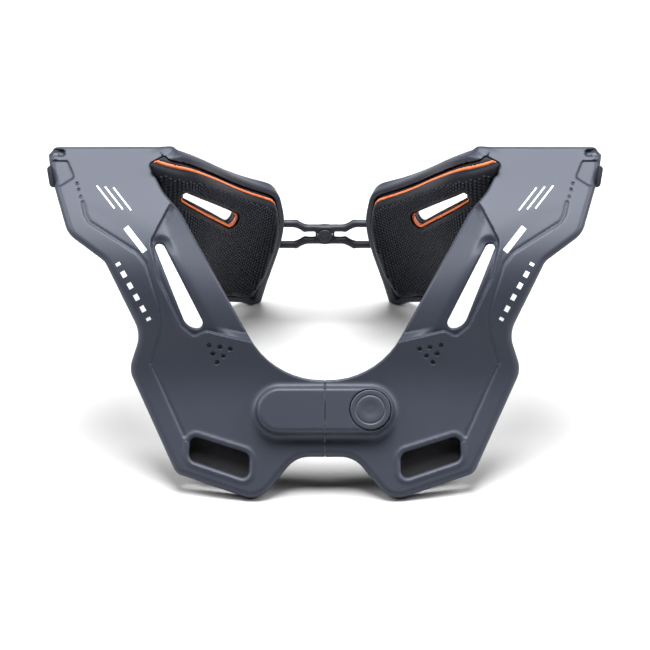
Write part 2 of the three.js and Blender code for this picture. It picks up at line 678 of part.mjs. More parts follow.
// Six small dimples beside the latch, three, two and one.
function dimples() {
  const cut = [];
  for (const row of [0, 1, 2])
    for (let i = 0; i < 3 - row; i++) {
      const along = (i - (2 - row) / 2) * DIMPLE_PITCH;
      const x = DIMPLE_ACROSS * HALF_WIDTH + along + row * DIMPLE_SKEW;
      const y = DIMPLE_UP * FACE_RISE - row * DIMPLE_PITCH * DIMPLE_ROW + along * DIMPLE_SLOPE;
      const circle = range(0, 5, 5).map((k) => ({
        x: x + DIMPLE_RADIUS * Math.cos((Math.PI * k) / 3),
        y: y + DIMPLE_RADIUS * Math.sin((Math.PI * k) / 3),
        round: 0,
      }));
      cut.push(faceBlock(circle, -CUT_PAST, DIMPLE_DEPTH));
    }
  return cut.reduce((sum, next) => sum.add(next));
}

// The webbing passes between the strap slot and the pad.
function strapWay() {
  const outline = inset(faceCorners(STRAP_SLOT), -STRAP_SIDE);
  return faceLayer(SKIN - STRAP_OVERLAP, SKIN + FIT + STRAP_WAY).intersect(faceCut(outline, HIDDEN_STEP));
}

function chestPad() {
  const outline = inset(faceCorners(POCKET), FIT + PAD_INSET);
  const top = CHEST_PAD_TOP * FACE_RISE;
  const corners = [[0, -BEYOND], [BEYOND, -BEYOND], [BEYOND, top], [0, top]];
  const keep = throughFace(corners.map(([x, y]) => new THREE.Vector2(x, y)));
  return faceLayer(SKIN + FIT, SKIN + FIT + CHEST_FOAM)
    .intersect(faceCut(outline, HIDDEN_STEP))
    .intersect(keep)
    .subtract(faceCut(inset(faceCorners(LONG_SLOT), -STRUT_CLEAR), HIDDEN_STEP))
    .subtract(strapWay());
}

// One half of the frame; the right one also holds the button.
function halfFrame(withButton) {
  let solid = frontSolid().add(rearSolid()).add(bossSolid().intersect(ownSide));
  solid = solid
    .subtract(tongueBox(FIT))
    .subtract(dimples())
    .subtract(pinPrism(FIT, -CUT_PAST, PIN_LENGTH + FIT + CUT_PAST));
  for (const side of [-1, 1]) solid = solid.subtract(linkArm(side, FIT));
  if (withButton) {
    const depth = BUTTON_THICK - BUTTON_PROUD + BUTTON_TRAVEL + FIT;
    solid = solid.subtract(
      buttonCylinder(BUTTON_RADIUS + FIT, BOSS_PROUD - depth, BOSS_PROUD + CUT_PAST),
    );
  }
  return solid.subtract(belowFloor);
}

function linkSolid() {
  const centre = (radius, length) => {
    const geometry = new THREE.CylinderGeometry(radius, radius, length, 16);
    return solidOf(geometry.translate(0, linkY, linkZ));
  };
  return linkArm(1, 0)
    .add(linkArm(-1, 0))
    .add(centre(LINK_RING, LINK_THICK))
    .subtract(centre(LINK_PIN + FIT, LINK_THICK + CUT_PAST));
}

const group = new THREE.Group();
const finish = (color, roughness) => new THREE.MeshStandardMaterial({ color, roughness, metalness: 0 });
const plasticFinish = finish(0x2b2d36, 0.5);
const buttonFinish = finish(0x25272f, 0.45);
const foamFinish = finish(0x0c0d11, 0.9);
const gripFinish = finish(0x15171d, 0.7);
const accentFinish = finish(0xe8743a, 0.6);
const linkFinish = finish(0x17181d, 0.55);
const pinFinish = finish(0x5a5c66, 0.4);

// Every paired piece is made at the right and mirrored to the left.
function pair(name, solid, material, leftSolid = solid) {
  group.add(meshOf(`${name}_right`, solid, material, 1));
  group.add(meshOf(`${name}_left`, leftSolid, material, -1));
}
pair("half_frame", halfFrame(true), plasticFinish, halfFrame(false));
pair("chest_pad", chestPad(), foamFinish);
const foamStart = WALL_SKIN + LAYER_FIT;
const accentStart = foamStart + FOAM + LAYER_FIT;
const gripStart = accentStart + ACCENT + LAYER_FIT;
pair("rear_pad_base", padLayer(foamStart, FOAM, 0), foamFinish);
pair("rear_pad_accent", padLayer(accentStart, ACCENT, ACCENT_INSET), accentFinish);
pair("rear_pad_grip", padLayer(gripStart, GRIP, GRIP_INSET), gripFinish);
pair("corner_clip", clipSolid(), plasticFinish);
pair("corner_pin", pinPrism(0, PIN_SUNK, PIN_LENGTH - PIN_SUNK), pinFinish);
const buttonTop = BOSS_PROUD + BUTTON_PROUD;
const button = buttonCylinder(BUTTON_RADIUS, buttonTop - BUTTON_THICK, buttonTop);
group.add(meshOf("release_button", button, buttonFinish, 1));
group.add(meshOf("latch_tongue", tongueBox(0), plasticFinish, 1));
group.add(meshOf("rear_link", linkSolid(), linkFinish, 1));
const pinLength = LINK_THICK + 2 * LINK_PIN_PROUD;
const linkPin = new THREE.CylinderGeometry(LINK_PIN, LINK_PIN, pinLength, 20).translate(0, linkY, linkZ);
group.add(meshOf("rear_link_pin", solidOf(linkPin), pinFinish, 1));

// The origin lies under the middle of the brace, on the surface that it stands on.
const extent = new THREE.Box3().setFromObject(group);
group.position.set(0, -(extent.min.y + extent.max.y) / 2, -extent.min.z);

export default group;
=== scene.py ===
import math
import bpy
import numpy as np
import openvdb
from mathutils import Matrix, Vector


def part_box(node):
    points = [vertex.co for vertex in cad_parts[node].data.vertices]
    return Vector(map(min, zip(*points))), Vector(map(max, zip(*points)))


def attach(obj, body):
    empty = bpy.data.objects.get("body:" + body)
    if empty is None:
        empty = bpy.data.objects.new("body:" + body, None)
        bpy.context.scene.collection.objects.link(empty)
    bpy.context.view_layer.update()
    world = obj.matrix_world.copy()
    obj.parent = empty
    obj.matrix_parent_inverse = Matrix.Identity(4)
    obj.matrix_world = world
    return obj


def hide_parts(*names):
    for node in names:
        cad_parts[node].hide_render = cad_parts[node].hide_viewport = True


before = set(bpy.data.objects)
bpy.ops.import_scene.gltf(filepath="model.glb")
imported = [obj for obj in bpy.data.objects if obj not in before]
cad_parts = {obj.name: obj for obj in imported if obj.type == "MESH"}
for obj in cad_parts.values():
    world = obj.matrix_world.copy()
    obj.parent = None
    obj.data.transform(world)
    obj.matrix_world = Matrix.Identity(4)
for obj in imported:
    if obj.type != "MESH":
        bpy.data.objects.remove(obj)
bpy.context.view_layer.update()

# Sizes of the frame, in millimetres, as in the part's source
HALF_WIDTH, FACE_RISE, FACE_LEAN, FACE_DEPTH = 143.4, 180.6, 28.0, 41.0
CHEST_BOW, WING_BOW, COLLAR_DEPTH, WALL_FLARE, RIM_FALL = 17.0, 5.0, 85.0, 30.0, 15.0
SKIN, LIP_DEPTH, STRUT_STEP, STRUT_THICK = 4.4, 7.5, 2.6, 8.5
WALL_SKIN, TRAY_DEPTH, TRAY_RIM = 3.6, 9.5, 3.2
FIT, LAYER_FIT = 0.3, 0.7
CHEST_FOAM, FOAM, ACCENT, GRIP = 8.5, 5.2, 1.7, 3.9
BOSS_TILT, BOSS_HALF_LENGTH, BOSS_HALF_HEIGHT, BOSS_PROUD, BOSS_ROOT = 10.0, 35.4, 12.0, 7.5, 4.0
BUTTON_RADIUS, BUTTON_THICK, BUTTON_PROUD, BUTTON_TRAVEL = 10.4, 5.0, 0.4, 2.0
LINK_BAR, LINK_END_SPREAD, LINK_MID_SPREAD, LINK_RING = 1.95, 6.2, 3.6, 5.0
LINK_PIN, LINK_PIN_PROUD, LINK_BEND, LINK_THICK, LINK_SOCKET = 3.8, 0.9, 12.9, 4.4, 3.0
LINK_HEIGHT, LINK_REACH, LINK_SEAT, LINK_BEND_HALF = 0.3, 0.14, 0.45, 2.4
ORIGIN_Y, ORIGIN_Z = 115.31728, -3.67311  # the frame's origin in the source's own drawing frame
SIN, COS = math.sin(math.radians(FACE_LEAN)), math.cos(math.radians(FACE_LEAN))
FALL = math.tan(math.radians(RIM_FALL))
MM, HALF_MM = .001, .0005  # in metres

# Sizes that only this script has, in millimetres: the front's relief
STRUT_EXTRA, STRUT_FALL, STRUT_THINS, CREST_WIDE, CREST_SOFT = .6, 6.6, 5.6, 13, 2.2
GROOVE_DEEP, GROOVE_WIDE, LEDGE_HIGH = .85, .78, .3
DOT_DEEP, DIMPLE_DEEP, NOTCH_DEEP, SLOT_DIP, RECESS = .8, 1.5, 3, 1.8, 1.4
SLOT_LIP, STRAP_LIP, STEP_SLOPE = .7, .5, .6
# The roundings and fillets of the moulded halves
HALF_SEAM, SEAM_ROUND, FOOT_ROUND, CREST_OVER = .012, .6, .6, .5
NECK_ROUND, OUTER_GAIN, CUT_ROUND = 1.2, 2.4, 1
OUTER_ROUND, FLAP_ROUND, RIM_ROUND, WALL_ROUND = 4.2, 3.4, 2.8, 1.2
SLOT_ROUND, STRAP_ROUND, SKIN_FILLET = 1.6, 1.4, 3.0
BOSS_ROUND, BOSS_FILLET, BOSS_CUT, BOSS_RISE = 2.6, 4.5, .5, .243
WING_PAST, FLAP_UNDER = 12, 3.4
# The pads
SLEEVE_STOP, SLEEVE_HALF, SLEEVE_IN, SLEEVE_HIDDEN = 3, .5, .85, 1.8
FOOT_CUT, GRIP_LAP, GRIP_BEAD, PUFF = 2.5, 5, .4, 1.2
CELL_PITCH, CELL_WIDE, CELL_TOP, CELL_HIGH, CELL_ROOT = 1.85, 1.4, .8, .65, .25
CELL_ROOM, CELL_SLOT_ROOM, CELL_SHRINK = 2.5, 3.5, 1.1
CHEST_IN, CHEST_SLOT_ROOM, CHEST_TOP, STRAP_ROOM, STRAP_DEEP = 2.5, 4, .6, 2.5, 3
# The button's ring and dish
RING_RADIUS, RING_DEEP, RING_WIDE, DISH_DEEP = 7.4, .35, .4, .3
# How far behind the front's face the front piece of a half reaches, and the edge round the rear slot's table
FRONT_REACH, SLOT_MARGIN = 5.0, 30

# Tables of shares: rows of across, up and corner radius, or two shares. PROFILE, PLAN, POCKET, CLIP_RECESS
# and the two front slots are as in the part's source, and the others are this script's own
PROFILE = [(-.06, -.04), (0, 0), (.13, .1), (.25, .195), (.39, .217), (.52, .066), (.65, .046),
           (.775, .273), (.9, .654), (1, 1), (1.06, 1.2)]
# The front's outline, run on past the crest, where the rear wall's outer face ends it: first its outer side,
# and from the neck rows on the side towards the neck
FRONT = [(.0, .114, 0), (.104, .114, .1), (.238, -.014, .086), (.537, .067, .045), (.707, .364, .09),
         (.665, .467, .11), (.794, .673, .055), (.928, .752, .09), (.975, .88, .02), (.993, .93, .02),
         (1.0, .98, .01), (.973, 1.006, 0), (.93, 1.1, 0), (.545, 1.1, 0), (.55, .99, .01), (.6, .968, .02),
         (.636, .953, .012), (.585, .874, .1), (.521, .814, .06), (.187, .334, .298), (0, .334, 0)]
OUTER_ROWS, NECK_ROWS = 12, 14
STRUT = [(.56, .835, 0), (.6, .775, .03), (.628, .73, .03), (.6, .62, .05), (.518, .487, .05),
         (.474, .458, .02), (.428, .474, .02), (.265, .443, 0), (.18, .44, 0), (.2, .6, 0), (.47, .9, 0)]
LONG_SLOT = [(.617, .722, .024), (.584, .723, .018), (.427, .48, .025), (.498, .485, .055)]
STRAP_SLOT = [(.485, .176, .022), (.271, .123, .03), (.276, .049, .022), (.49, .106, .03)]
POCKET = [(.028, .139, .01), (.118, .139, .09), (.248, .014, .06), (.522, .086, .03), (.676, .366, .06),
          (.632, .466, .1), (.767, .685, .05), (.905, .771, .06), (.95, .9, .02), (.66, .9, .02),
          (.6, .835, .03), (.655, .735, .02), (.625, .615, .04), (.538, .472, .04), (.475, .434, .02),
          (.428, .45, .01), (.285, .4, .04), (.2, .31, .25), (.028, .31, .01)]
CLIP_RECESS = [(1.05, .965, 0), (.93, .962, .012), (.905, .915, .012), (.955, .89, .01), (1.05, .9, 0)]
PLAN = [(.1, .945), (.16, .92), (.225, .86), (.294, .75), (.37, .59), (.445, .385), (.51, .165),
        (.565, .035), (.64, -.015), (.75, -.02), (.88, -.015), (1.03, -.01)]
# The rear wall's outline as it is seen from the front: its rim, then its lower edge
WALL_RIM = [(.287, .573), (.263, .5775), (.25, .6), (.2, .7091), (.1663, .7991), (.1641, .8269),
            (.1677, .8494), (.1751, .8703), (.1877, .896), (.2053, .908), (.2296, .9145), (.2731, .9222),
            (.3167, .9316), (.3821, .9496), (.4477, .971), (.4998, .988), (.5523, 1.004), (.6, 1.022),
            (.65, 1.05)]
WALL_LOW = [(.65, 1.05), (1.01, 1.05), (.975, .939), (.7, .9014), (.622, .81), (.585, .723), (.545, .665),
            (.49, .603), (.43, .583), (.34, .585), (.287, .573)]
# The rear slot, 2.3 to 4.5 mm wide, where the source has 5.3 to 6.3 mm
REAR_SLOT = [(.507, .765, .014), (.298, .477, .022), (.311, .44, .024), (.525, .763, .014)]
SLOT_AXIS = np.array((.1, .91, -.35)) / np.linalg.norm((.1, .91, -.35))
PAD_END = .68

# Lines of the front's relief, in millimetres on its drawing plane
GROOVE_DOTS = [(128.5, 162), (127.5, 158.9), (126.4, 155.3)]
GROOVE_UPPER = [(125.4, 152.2), (124.1, 146), (121.8, 142), (97, 126.2),
                (92.4, 120.2), (89.3, 110.4), (85.4, 98), (84.4, 91.3), (84.9, 86.2), (90, 69.2)]
GROOVE_LOWER = [(88.8, 67.1), (72.8, 31.5)]
CREST = [(83, 142), (80, 132.6), (68.9, 110), (57.8, 88.8), (54, 82)]
DIMPLES = [(59.9, 78.4), (54.2, 77.4), (48.8, 76.4), (57.8, 74), (52.3, 72.8), (55.7, 69.4)]
NOTCH = [(136.4, 178), (142, 178.6)]
# The plain print: place across and up, angle, length, width, and the pitch where it is cut in dashes
PRINT = [(113.5, 155, 52, 15, .8, 0), (109.2, 154.5, 52, 15, .8, 0), (104.9, 154, 52, 15, .8, 0),
         (98, 133, 52, 16, 3.0, 0), (99, 106, 61, 34, 2.4, 6.8)]
DASH_SHARE = .52
# Boxes that hold what is worked out, in millimetres: the front's drawing plane, one half, one rear pad
FACE_BOX = (-24, -16), (152, 196)
HALF_BOX = (-1.5, -116, -1.5), (147, 117, 146)
PAD_BOX = (15, -12, -1), (104, 103, 141)
CHEST_BOX = (2, -115, -3), (108, -30, 92)


def through_rows(rows):
    """A smooth curve through the rows of a table, with no bend at its two ends."""
    xs, ys = np.array(rows, float).T
    gap, rate = np.diff(xs), np.diff(ys) / np.diff(xs)
    count = len(xs)
    system, right = np.zeros((count, count)), np.zeros(count)
    system[0, :2], right[0] = (2, 1), 3 * rate[0]
    system[-1, -2:], right[-1] = (1, 2), 3 * rate[-1]
    for i in range(1, count - 1):
        system[i, i - 1:i + 2] = gap[i], 2 * (gap[i - 1] + gap[i]), gap[i - 1]
        right[i] = 3 * (gap[i] * rate[i - 1] + gap[i - 1] * rate[i])
    slope = np.linalg.solve(system, right)

    def at(x):
        i = np.clip(np.searchsorted(xs, x, side="right") - 1, 0, len(xs) - 2)
        span = xs[i + 1] - xs[i]
        s = (x - xs[i]) / span
        h = s * s * (3 - 2 * s)
        rise = (s ** 3 - 2 * s * s + s) * slope[i] + (s ** 3 - s * s) * slope[i + 1]
        return ys[i] * (1 - h) + ys[i + 1] * h + rise * span

    return at


profile, plan = through_rows(PROFILE), through_rows(PLAN)


def behind_plane(x, w):
    """How far the front's face lies behind its drawing plane."""
    share = w / FACE_RISE
    bow = CHEST_BOW + (WING_BOW - CHEST_BOW) * np.clip(share, 0, 1)
    return FACE_DEPTH * profile(share) + bow * (x / HALF_WIDTH) ** 2


def rounded(corners, step=7.0):
    """A polygon's corners rounded with arcs, each limited by the sides beside it."""
    points, count = [], len(corners)
    for i, (x, y, r) in enumerate(corners):
        here = np.array((x, y), float)
        before, after = corners[i - 1], corners[(i + 1) % count]
        back, ahead = np.array(before[:2]) - here, np.array(after[:2]) - here
        long_back, long_ahead = np.linalg.norm(back), np.linalg.norm(ahead)
        half = math.acos(np.clip(back @ ahead / (long_back * long_ahead), -1, 1)) / 2
        room = min(long_back * (.49 if before[2] > 0 else .98),
                   long_ahead * (.49 if after[2] > 0 else .98)) * math.tan(half)
        radius = min(r, room)
        if radius < .2:
            points.append(here)
            continue
        back, ahead = back / long_back, ahead / long_ahead
        centre = here + (back + ahead) / np.linalg.norm(back + ahead) * radius / math.sin(half)
        start = here + back * radius / math.tan(half) - centre
        turn = (math.pi - 2 * half) * np.sign(back[0] * ahead[1] - back[1] * ahead[0])
        steps = max(1, math.ceil(abs(turn) / math.radians(step)))
        for k in range(steps + 1):
            c, s = math.cos(-turn * k / steps), math.sin(-turn * k / steps)
            points.append(centre + (start[0] * c - start[1] * s, start[0] * s + start[1] * c))
    return np.array(points)


def inside(polygon, px, py):
    """Distance from a polygon's edge, above zero inside it."""
    best = np.full(px.shape, 1e9, np.float32)
    within = np.zeros(px.shape, bool)
    for a, b in zip(polygon, np.roll(polygon, -1, axis=0)):
        ex, ey = b - a
        wx, wy = px - a[0], py - a[1]
        t = np.clip((wx * ex + wy * ey) / max(ex * ex + ey * ey, 1e-9), 0, 1)
        best = np.minimum(best, (wx - t * ex) ** 2 + (wy - t * ey) ** 2)
        if abs(ey) > 1e-9:
            within ^= ((a[1] <= py) != (b[1] <= py)) & (wx < wy * ex / ey)
    return np.sqrt(best) * np.where(within, 1, -1)


def line_distance(line, px, py):
    """Distance to an open line and the side on which a point lies."""
    best = np.full(px.shape, 1e9, np.float32)
    side = np.zeros(px.shape, np.float32)
    line = np.array(line, float)
    for a, b in zip(line[:-1], line[1:]):
        ex, ey = b - a
        wx, wy = px - a[0], py - a[1]
        t = np.clip((wx * ex + wy * ey) / (ex * ex + ey * ey), 0, 1)
        d = (wx - t * ex) ** 2 + (wy - t * ey) ** 2
        near = d < best
        side = np.where(near, np.sign(ex * wy - ey * wx), side)
        best = np.where(near, d, best)
    return np.sqrt(best), side


def smooth_step(low, high, value):
    """A soft change from nothing to one between two values."""
    s = np.clip((value - low) / (high - low), 0, 1)
    return s * s * (3 - 2 * s)


def both(a, b, radius):
    """Where two solids meet: their common part, with a rounded edge."""
    corner = radius - np.sqrt(np.maximum(radius - a, 0) ** 2 + np.maximum(radius - b, 0) ** 2)
    return np.where((a < radius) & (b < radius), corner, np.minimum(a, b))


def either(a, b, blend):
    """Two solids joined, with a hollow fillet."""
    h = np.maximum(blend - np.abs(a - b), 0) / blend
    return np.maximum(a, b) + h * h * blend * .25


class Table:
    """Values on a flat grid, read between its points."""

    def __init__(self, low, high, step, function):
        self.low, self.step = low, step
        xs = np.arange(low[0], high[0] + step, step, dtype=np.float32)
        ys = np.arange(low[1], high[1] + step, step, dtype=np.float32)
        grid = np.meshgrid(xs, ys, indexing="ij")
        self.values = [np.ascontiguousarray(v, np.float32) for v in function(*grid)]
        self.shape = (len(xs), len(ys))

    def __call__(self, x, y, which=None):
        u = np.clip((x - self.low[0]) / self.step, 0, self.shape[0] - 1.001)
        v = np.clip((y - self.low[1]) / self.step, 0, self.shape[1] - 1.001)
        i, j = u.astype(np.int32), v.astype(np.int32)
        fu, fv = (u - i).astype(np.float32), (v - j).astype(np.float32)
        base = i * self.shape[1] + j
        found = []
        for k, values in enumerate(self.values):
            if which is not None and k not in which:
                continue
            flat = values.ravel()
            low = flat[base] * (1 - fv) + flat[base + 1] * fv
            high = flat[base + self.shape[1]] * (1 - fv) + flat[base + self.shape[1] + 1] * fv
            found.append(low * (1 - fu) + high * fu)
        return found


def on_face(table):
    """Rows of shares as places and radii on the front's drawing plane."""
    return [(a * HALF_WIDTH, u * FACE_RISE, r * HALF_WIDTH) for a, u, r in table]


def front_values(x, w):
    """Distances to the front's edge and slots, then its face, thickness, lean and edge rounding."""
    outline = on_face(FRONT)
    outline[0] = (-20, outline[0][1], 0)
    outline[-1] = (-20, outline[-1][1], 0)
    edge = inside(rounded(outline), x, w)
    strut = inside(rounded(on_face(STRUT)), x, w)
    long_slot = -inside(rounded(on_face(LONG_SLOT)), x, w)
    strap_slot = -inside(rounded(on_face(STRAP_SLOT)), x, w)
    pocket = inside(rounded(on_face(POCKET)), x, w)
    recess = inside(rounded(on_face(CLIP_RECESS)), x, w)
    upper, upper_side = line_distance(GROOVE_UPPER, x, w)
    lower, lower_side = line_distance(GROOVE_LOWER, x, w)
    crest, crest_side = line_distance(CREST, x, w)
    groove = np.minimum(upper, lower)
    side = np.where(upper < lower, upper_side, lower_side)

    outer_side = line_distance([p[:2] for p in outline[:OUTER_ROWS]], x, w)[0]
    neck_side = line_distance([p[:2] for p in outline[NECK_ROWS:]], x, w)[0]
    round_off = NECK_ROUND + OUTER_GAIN * smooth_step(-4, 4, neck_side - outer_side)
    relief = np.zeros_like(x)
    sunk = smooth_step(-STEP_SLOPE, STEP_SLOPE, strut)
    relief += (STRUT_STEP + STRUT_EXTRA) * sunk
    past_crest = crest * crest_side * -1
    fall = np.minimum((np.sqrt(past_crest ** 2 + CREST_SOFT) + past_crest) / 2, CREST_WIDE) / CREST_WIDE
    relief += STRUT_FALL * fall * smooth_step(-.4, 4, strut)
    by_slot = smooth_step(5.5, .5, long_slot) * smooth_step(124, 133, w)
    relief += SLOT_DIP * by_slot * smooth_step(-.4, 3, strut)
    relief += GROOVE_DEEP * np.exp(-(groove / GROOVE_WIDE) ** 2)
    relief += NOTCH_DEEP * smooth_step(1.9, 1.2, line_distance(NOTCH, x, w)[0])
    for cx, cw in GROOVE_DOTS:
        relief += DOT_DEEP * smooth_step(.95, .3, np.sqrt((x - cx) ** 2 + (w - cw) ** 2))
    by_groove = smooth_step(.1, .9, groove) * smooth_step(16, 5, groove) * smooth_step(153, 146, w)
    relief += LEDGE_HIGH * np.where(side < 0, 1, 0) * by_groove
    relief += RECESS * smooth_step(-STEP_SLOPE, STEP_SLOPE, recess)
    relief -= SLOT_LIP * np.exp(-((long_slot - 2.6) / 1.5) ** 2) * smooth_step(2, -2, strut)
    relief -= STRAP_LIP * np.exp(-((strap_slot - 2) / 1.3) ** 2)
    for cx, cw in DIMPLES:
        relief += DIMPLE_DEEP * smooth_step(1.45, .7, np.sqrt((x - cx) ** 2 + (w - cw) ** 2))
    thick = SKIN + (LIP_DEPTH - SKIN) * smooth_step(STEP_SLOPE, -STEP_SLOPE, pocket)
    thick = thick + (STRUT_STEP + STRUT_THICK + (STRUT_FALL - STRUT_THINS) * fall - thick) * sunk
    surface = behind_plane(x, w)
    step = .25  # the run over which the face's slope is measured
    slope_x = (behind_plane(x + step, w) - surface) / step
    slope_w = (behind_plane(x, w + step) - surface) / step
    lean = 1 / np.sqrt(1 + slope_x ** 2 + slope_w ** 2)
    return edge, long_slot, strap_slot, surface + relief, thick - relief, lean, round_off


front_table = Table(*FACE_BOX, .35, front_values)

# The rear wall's plan as a dense line, and the place of the crest
plan_x = np.linspace(.03, 1.12, 700) * HALF_WIDTH
crest_behind = FACE_DEPTH + WING_BOW * .5
CREST_Y = FACE_RISE * SIN + crest_behind * COS
CREST_Z = FACE_RISE * COS - crest_behind * SIN
plan_y = CREST_Y + COLLAR_DEPTH * plan(plan_x / HALF_WIDTH)


def rear_values(x, y):
    """Place along the rear wall's plan and depth from it."""
    best = np.full(x.shape, 1e9, np.float32)
    across = np.zeros_like(x)
    reach = np.zeros_like(x)
    for i in range(len(plan_x) - 1):
        ax, ay = plan_x[i], plan_y[i]
        ex, ey = plan_x[i + 1] - ax, plan_y[i + 1] - ay
        long = math.hypot(ex, ey)
        tx, ty = ex / long, ey / long
        wx, wy = x - ax, y - ay
        along = wx * tx + wy * ty
        t = np.clip(along, 0, long)
        d = (wx - t * tx) ** 2 + (wy - t * ty) ** 2
        near = d < best
        end = along if i in (0, len(plan_x) - 2) else t
        across = np.where(near, ax + end * tx, across)
        reach = np.where(near, wx * ty - wy * tx, reach)
        best = np.where(near, d, best)
    return across, reach


rear_table = Table((-8, 60), (156, 236), .8, rear_values)


def on_wall_seen(rows):
    """Across and height of points that are given as they are seen from the front."""
    tried = np.meshgrid(np.linspace(.1, 1.03, 300) * HALF_WIDTH, np.linspace(-14, 160, 300))
    a, z = [v.ravel() for v in tried]

    def seen(across, height):
        p = wall_point(across, height, 0)
        return np.stack([p[..., 0], p[..., 1] * SIN + p[..., 2] * COS], -1)

    grid, found = seen(a, z), []
    for row in rows:
        aim = np.array((row[0] * HALF_WIDTH, row[1] * FACE_RISE))
        near = int(np.argmin(((grid - aim) ** 2).sum(-1)))
        at = np.array((a[near], z[near]))
        for _ in range(4):
            now, run = seen(at[0], at[1]), .1
            ways = np.stack([seen(at[0] + run, at[1]) - now, seen(at[0], at[1] + run) - now], -1) / run
            at = at + np.clip(np.linalg.solve(ways, aim - now), -1, 1)
        found.append(at)
    return np.array(found)


def on_wall_corners(table):
    """Rows of shares as places and radii on the rear wall."""
    return [(a * HALF_WIDTH, h * CREST_Z, r * HALF_WIDTH) for a, h, r in table]


def wall_point(across, height, inward):
    """A point of the rear wall from its place on the outline and its depth."""
    z = height - FALL * inward
    share, small_share = across / HALF_WIDTH, .004
    y = CREST_Y + COLLAR_DEPTH * plan(share)
    rise = COLLAR_DEPTH * (plan(share + small_share) - plan(share - small_share))
    run = 2 * small_share * HALF_WIDTH
    long = np.hypot(rise, run)
    reach = inward - WALL_FLARE * np.maximum(0, 1 - z / CREST_Z) ** 2
    return np.stack([across + rise / long * reach, y - run / long * reach, z], -1)


# The rear slot, drawn on a plane across its own axis
slot_u = np.cross(SLOT_AXIS, (0, 0, 1.0))
slot_u /= np.linalg.norm(slot_u)
slot_v = np.cross(slot_u, SLOT_AXIS)
slot_corners = rounded(on_wall_corners(REAR_SLOT))
slot_points = wall_point(slot_corners[:, 0], slot_corners[:, 1], 0)
slot_polygon = np.stack([slot_points @ slot_u, slot_points @ slot_v], -1)
slot_ends = [((REAR_SLOT[a][0] + REAR_SLOT[b][0]) / 2 * HALF_WIDTH,
              (REAR_SLOT[a][1] + REAR_SLOT[b][1]) / 2 * CREST_Z) for a, b in ((0, 3), (1, 2))]
slot_line = [wall_point(np.array(a), np.array(h), 0) for a, h in slot_ends]
slot_line = [np.array((p @ slot_u, p @ slot_v)) for p in slot_line]


def slot_values(u, v):
    """Distance to the rear slot, and how far above its middle line a point lies."""
    long = np.linalg.norm(slot_line[1] - slot_line[0])
    run = (slot_line[1] - slot_line[0]) / long
    along = (u - slot_line[0][0]) * run[0] + (v - slot_line[0][1]) * run[1]
    over = (v - slot_line[0][1]) * run[0] - (u - slot_line[0][0]) * run[1]
    over = over * np.sign(run[0])
    return -inside(slot_polygon, u, v), np.minimum(over, long - SLEEVE_STOP - along)


slot_table = Table(slot_polygon.min(0) - SLOT_MARGIN, slot_polygon.max(0) + SLOT_MARGIN, .35, slot_values)

# The rear wall's outline: a curve through the rows of its rim, then straight runs along its lower edge
rim_rows = np.array(WALL_RIM)
rim_run = np.concatenate([[0], np.cumsum(np.linalg.norm(np.diff(rim_rows, axis=0), axis=1))])
rim_across = through_rows(np.stack([rim_run, rim_rows[:, 0]], -1))
rim_height = through_rows(np.stack([rim_run, rim_rows[:, 1]], -1))
along_rim = np.linspace(0, rim_run[-1], 70)
seen_rows = [(float(rim_across(s)), float(rim_height(s))) for s in along_rim]
for start, end in zip(WALL_LOW[:-1], WALL_LOW[1:]):
    for k in range(4):
        seen_rows.append((start[0] + (end[0] - start[0]) * k / 4, start[1] + (end[1] - start[1]) * k / 4))
wall_outline = on_wall_seen(seen_rows[:-1])
wall_table = Table((-10, -20), (156, 170), .5, lambda a, h: [inside(wall_outline, a, h)])


def wall_place(x, y, z):
    """Place of points in the rear wall: across, height, depth from its outer face, and the lean."""
    across, reach = rear_table(x, y)
    low = np.maximum(0, 1 - z / CREST_Z)
    inward = reach + WALL_FLARE * low ** 2
    lean = 1 / np.sqrt(1 + (2 * WALL_FLARE * low / CREST_Z) ** 2)
    return across, z + FALL * inward, inward, lean


def from_slot(x, y, z):
    """What the rear slot's table says at points of the drawing frame."""
    u = x * slot_u[0] + y * slot_u[1] + z * slot_u[2]
    v = x * slot_v[0] + y * slot_v[1] + z * slot_v[2]
    return slot_table(u, v)


# The latch boss's place and its own frame
boss_w = BOSS_RISE * FACE_RISE
boss_t = float(behind_plane(np.array(0.0), np.array(boss_w)))
BOSS_Y, BOSS_Z = boss_w * SIN + boss_t * COS, boss_w * COS - boss_t * SIN
tilt = math.radians(90 - FACE_LEAN - BOSS_TILT)
BUTTON_X = BOSS_HALF_LENGTH - BOSS_HALF_HEIGHT


def boss_place(y, z):
    """Up and out in the latch boss's own frame."""
    dy, dz = y - BOSS_Y, z - BOSS_Z
    return math.cos(tilt) * dy + math.sin(tilt) * dz, -math.sin(tilt) * dy + math.cos(tilt) * dz


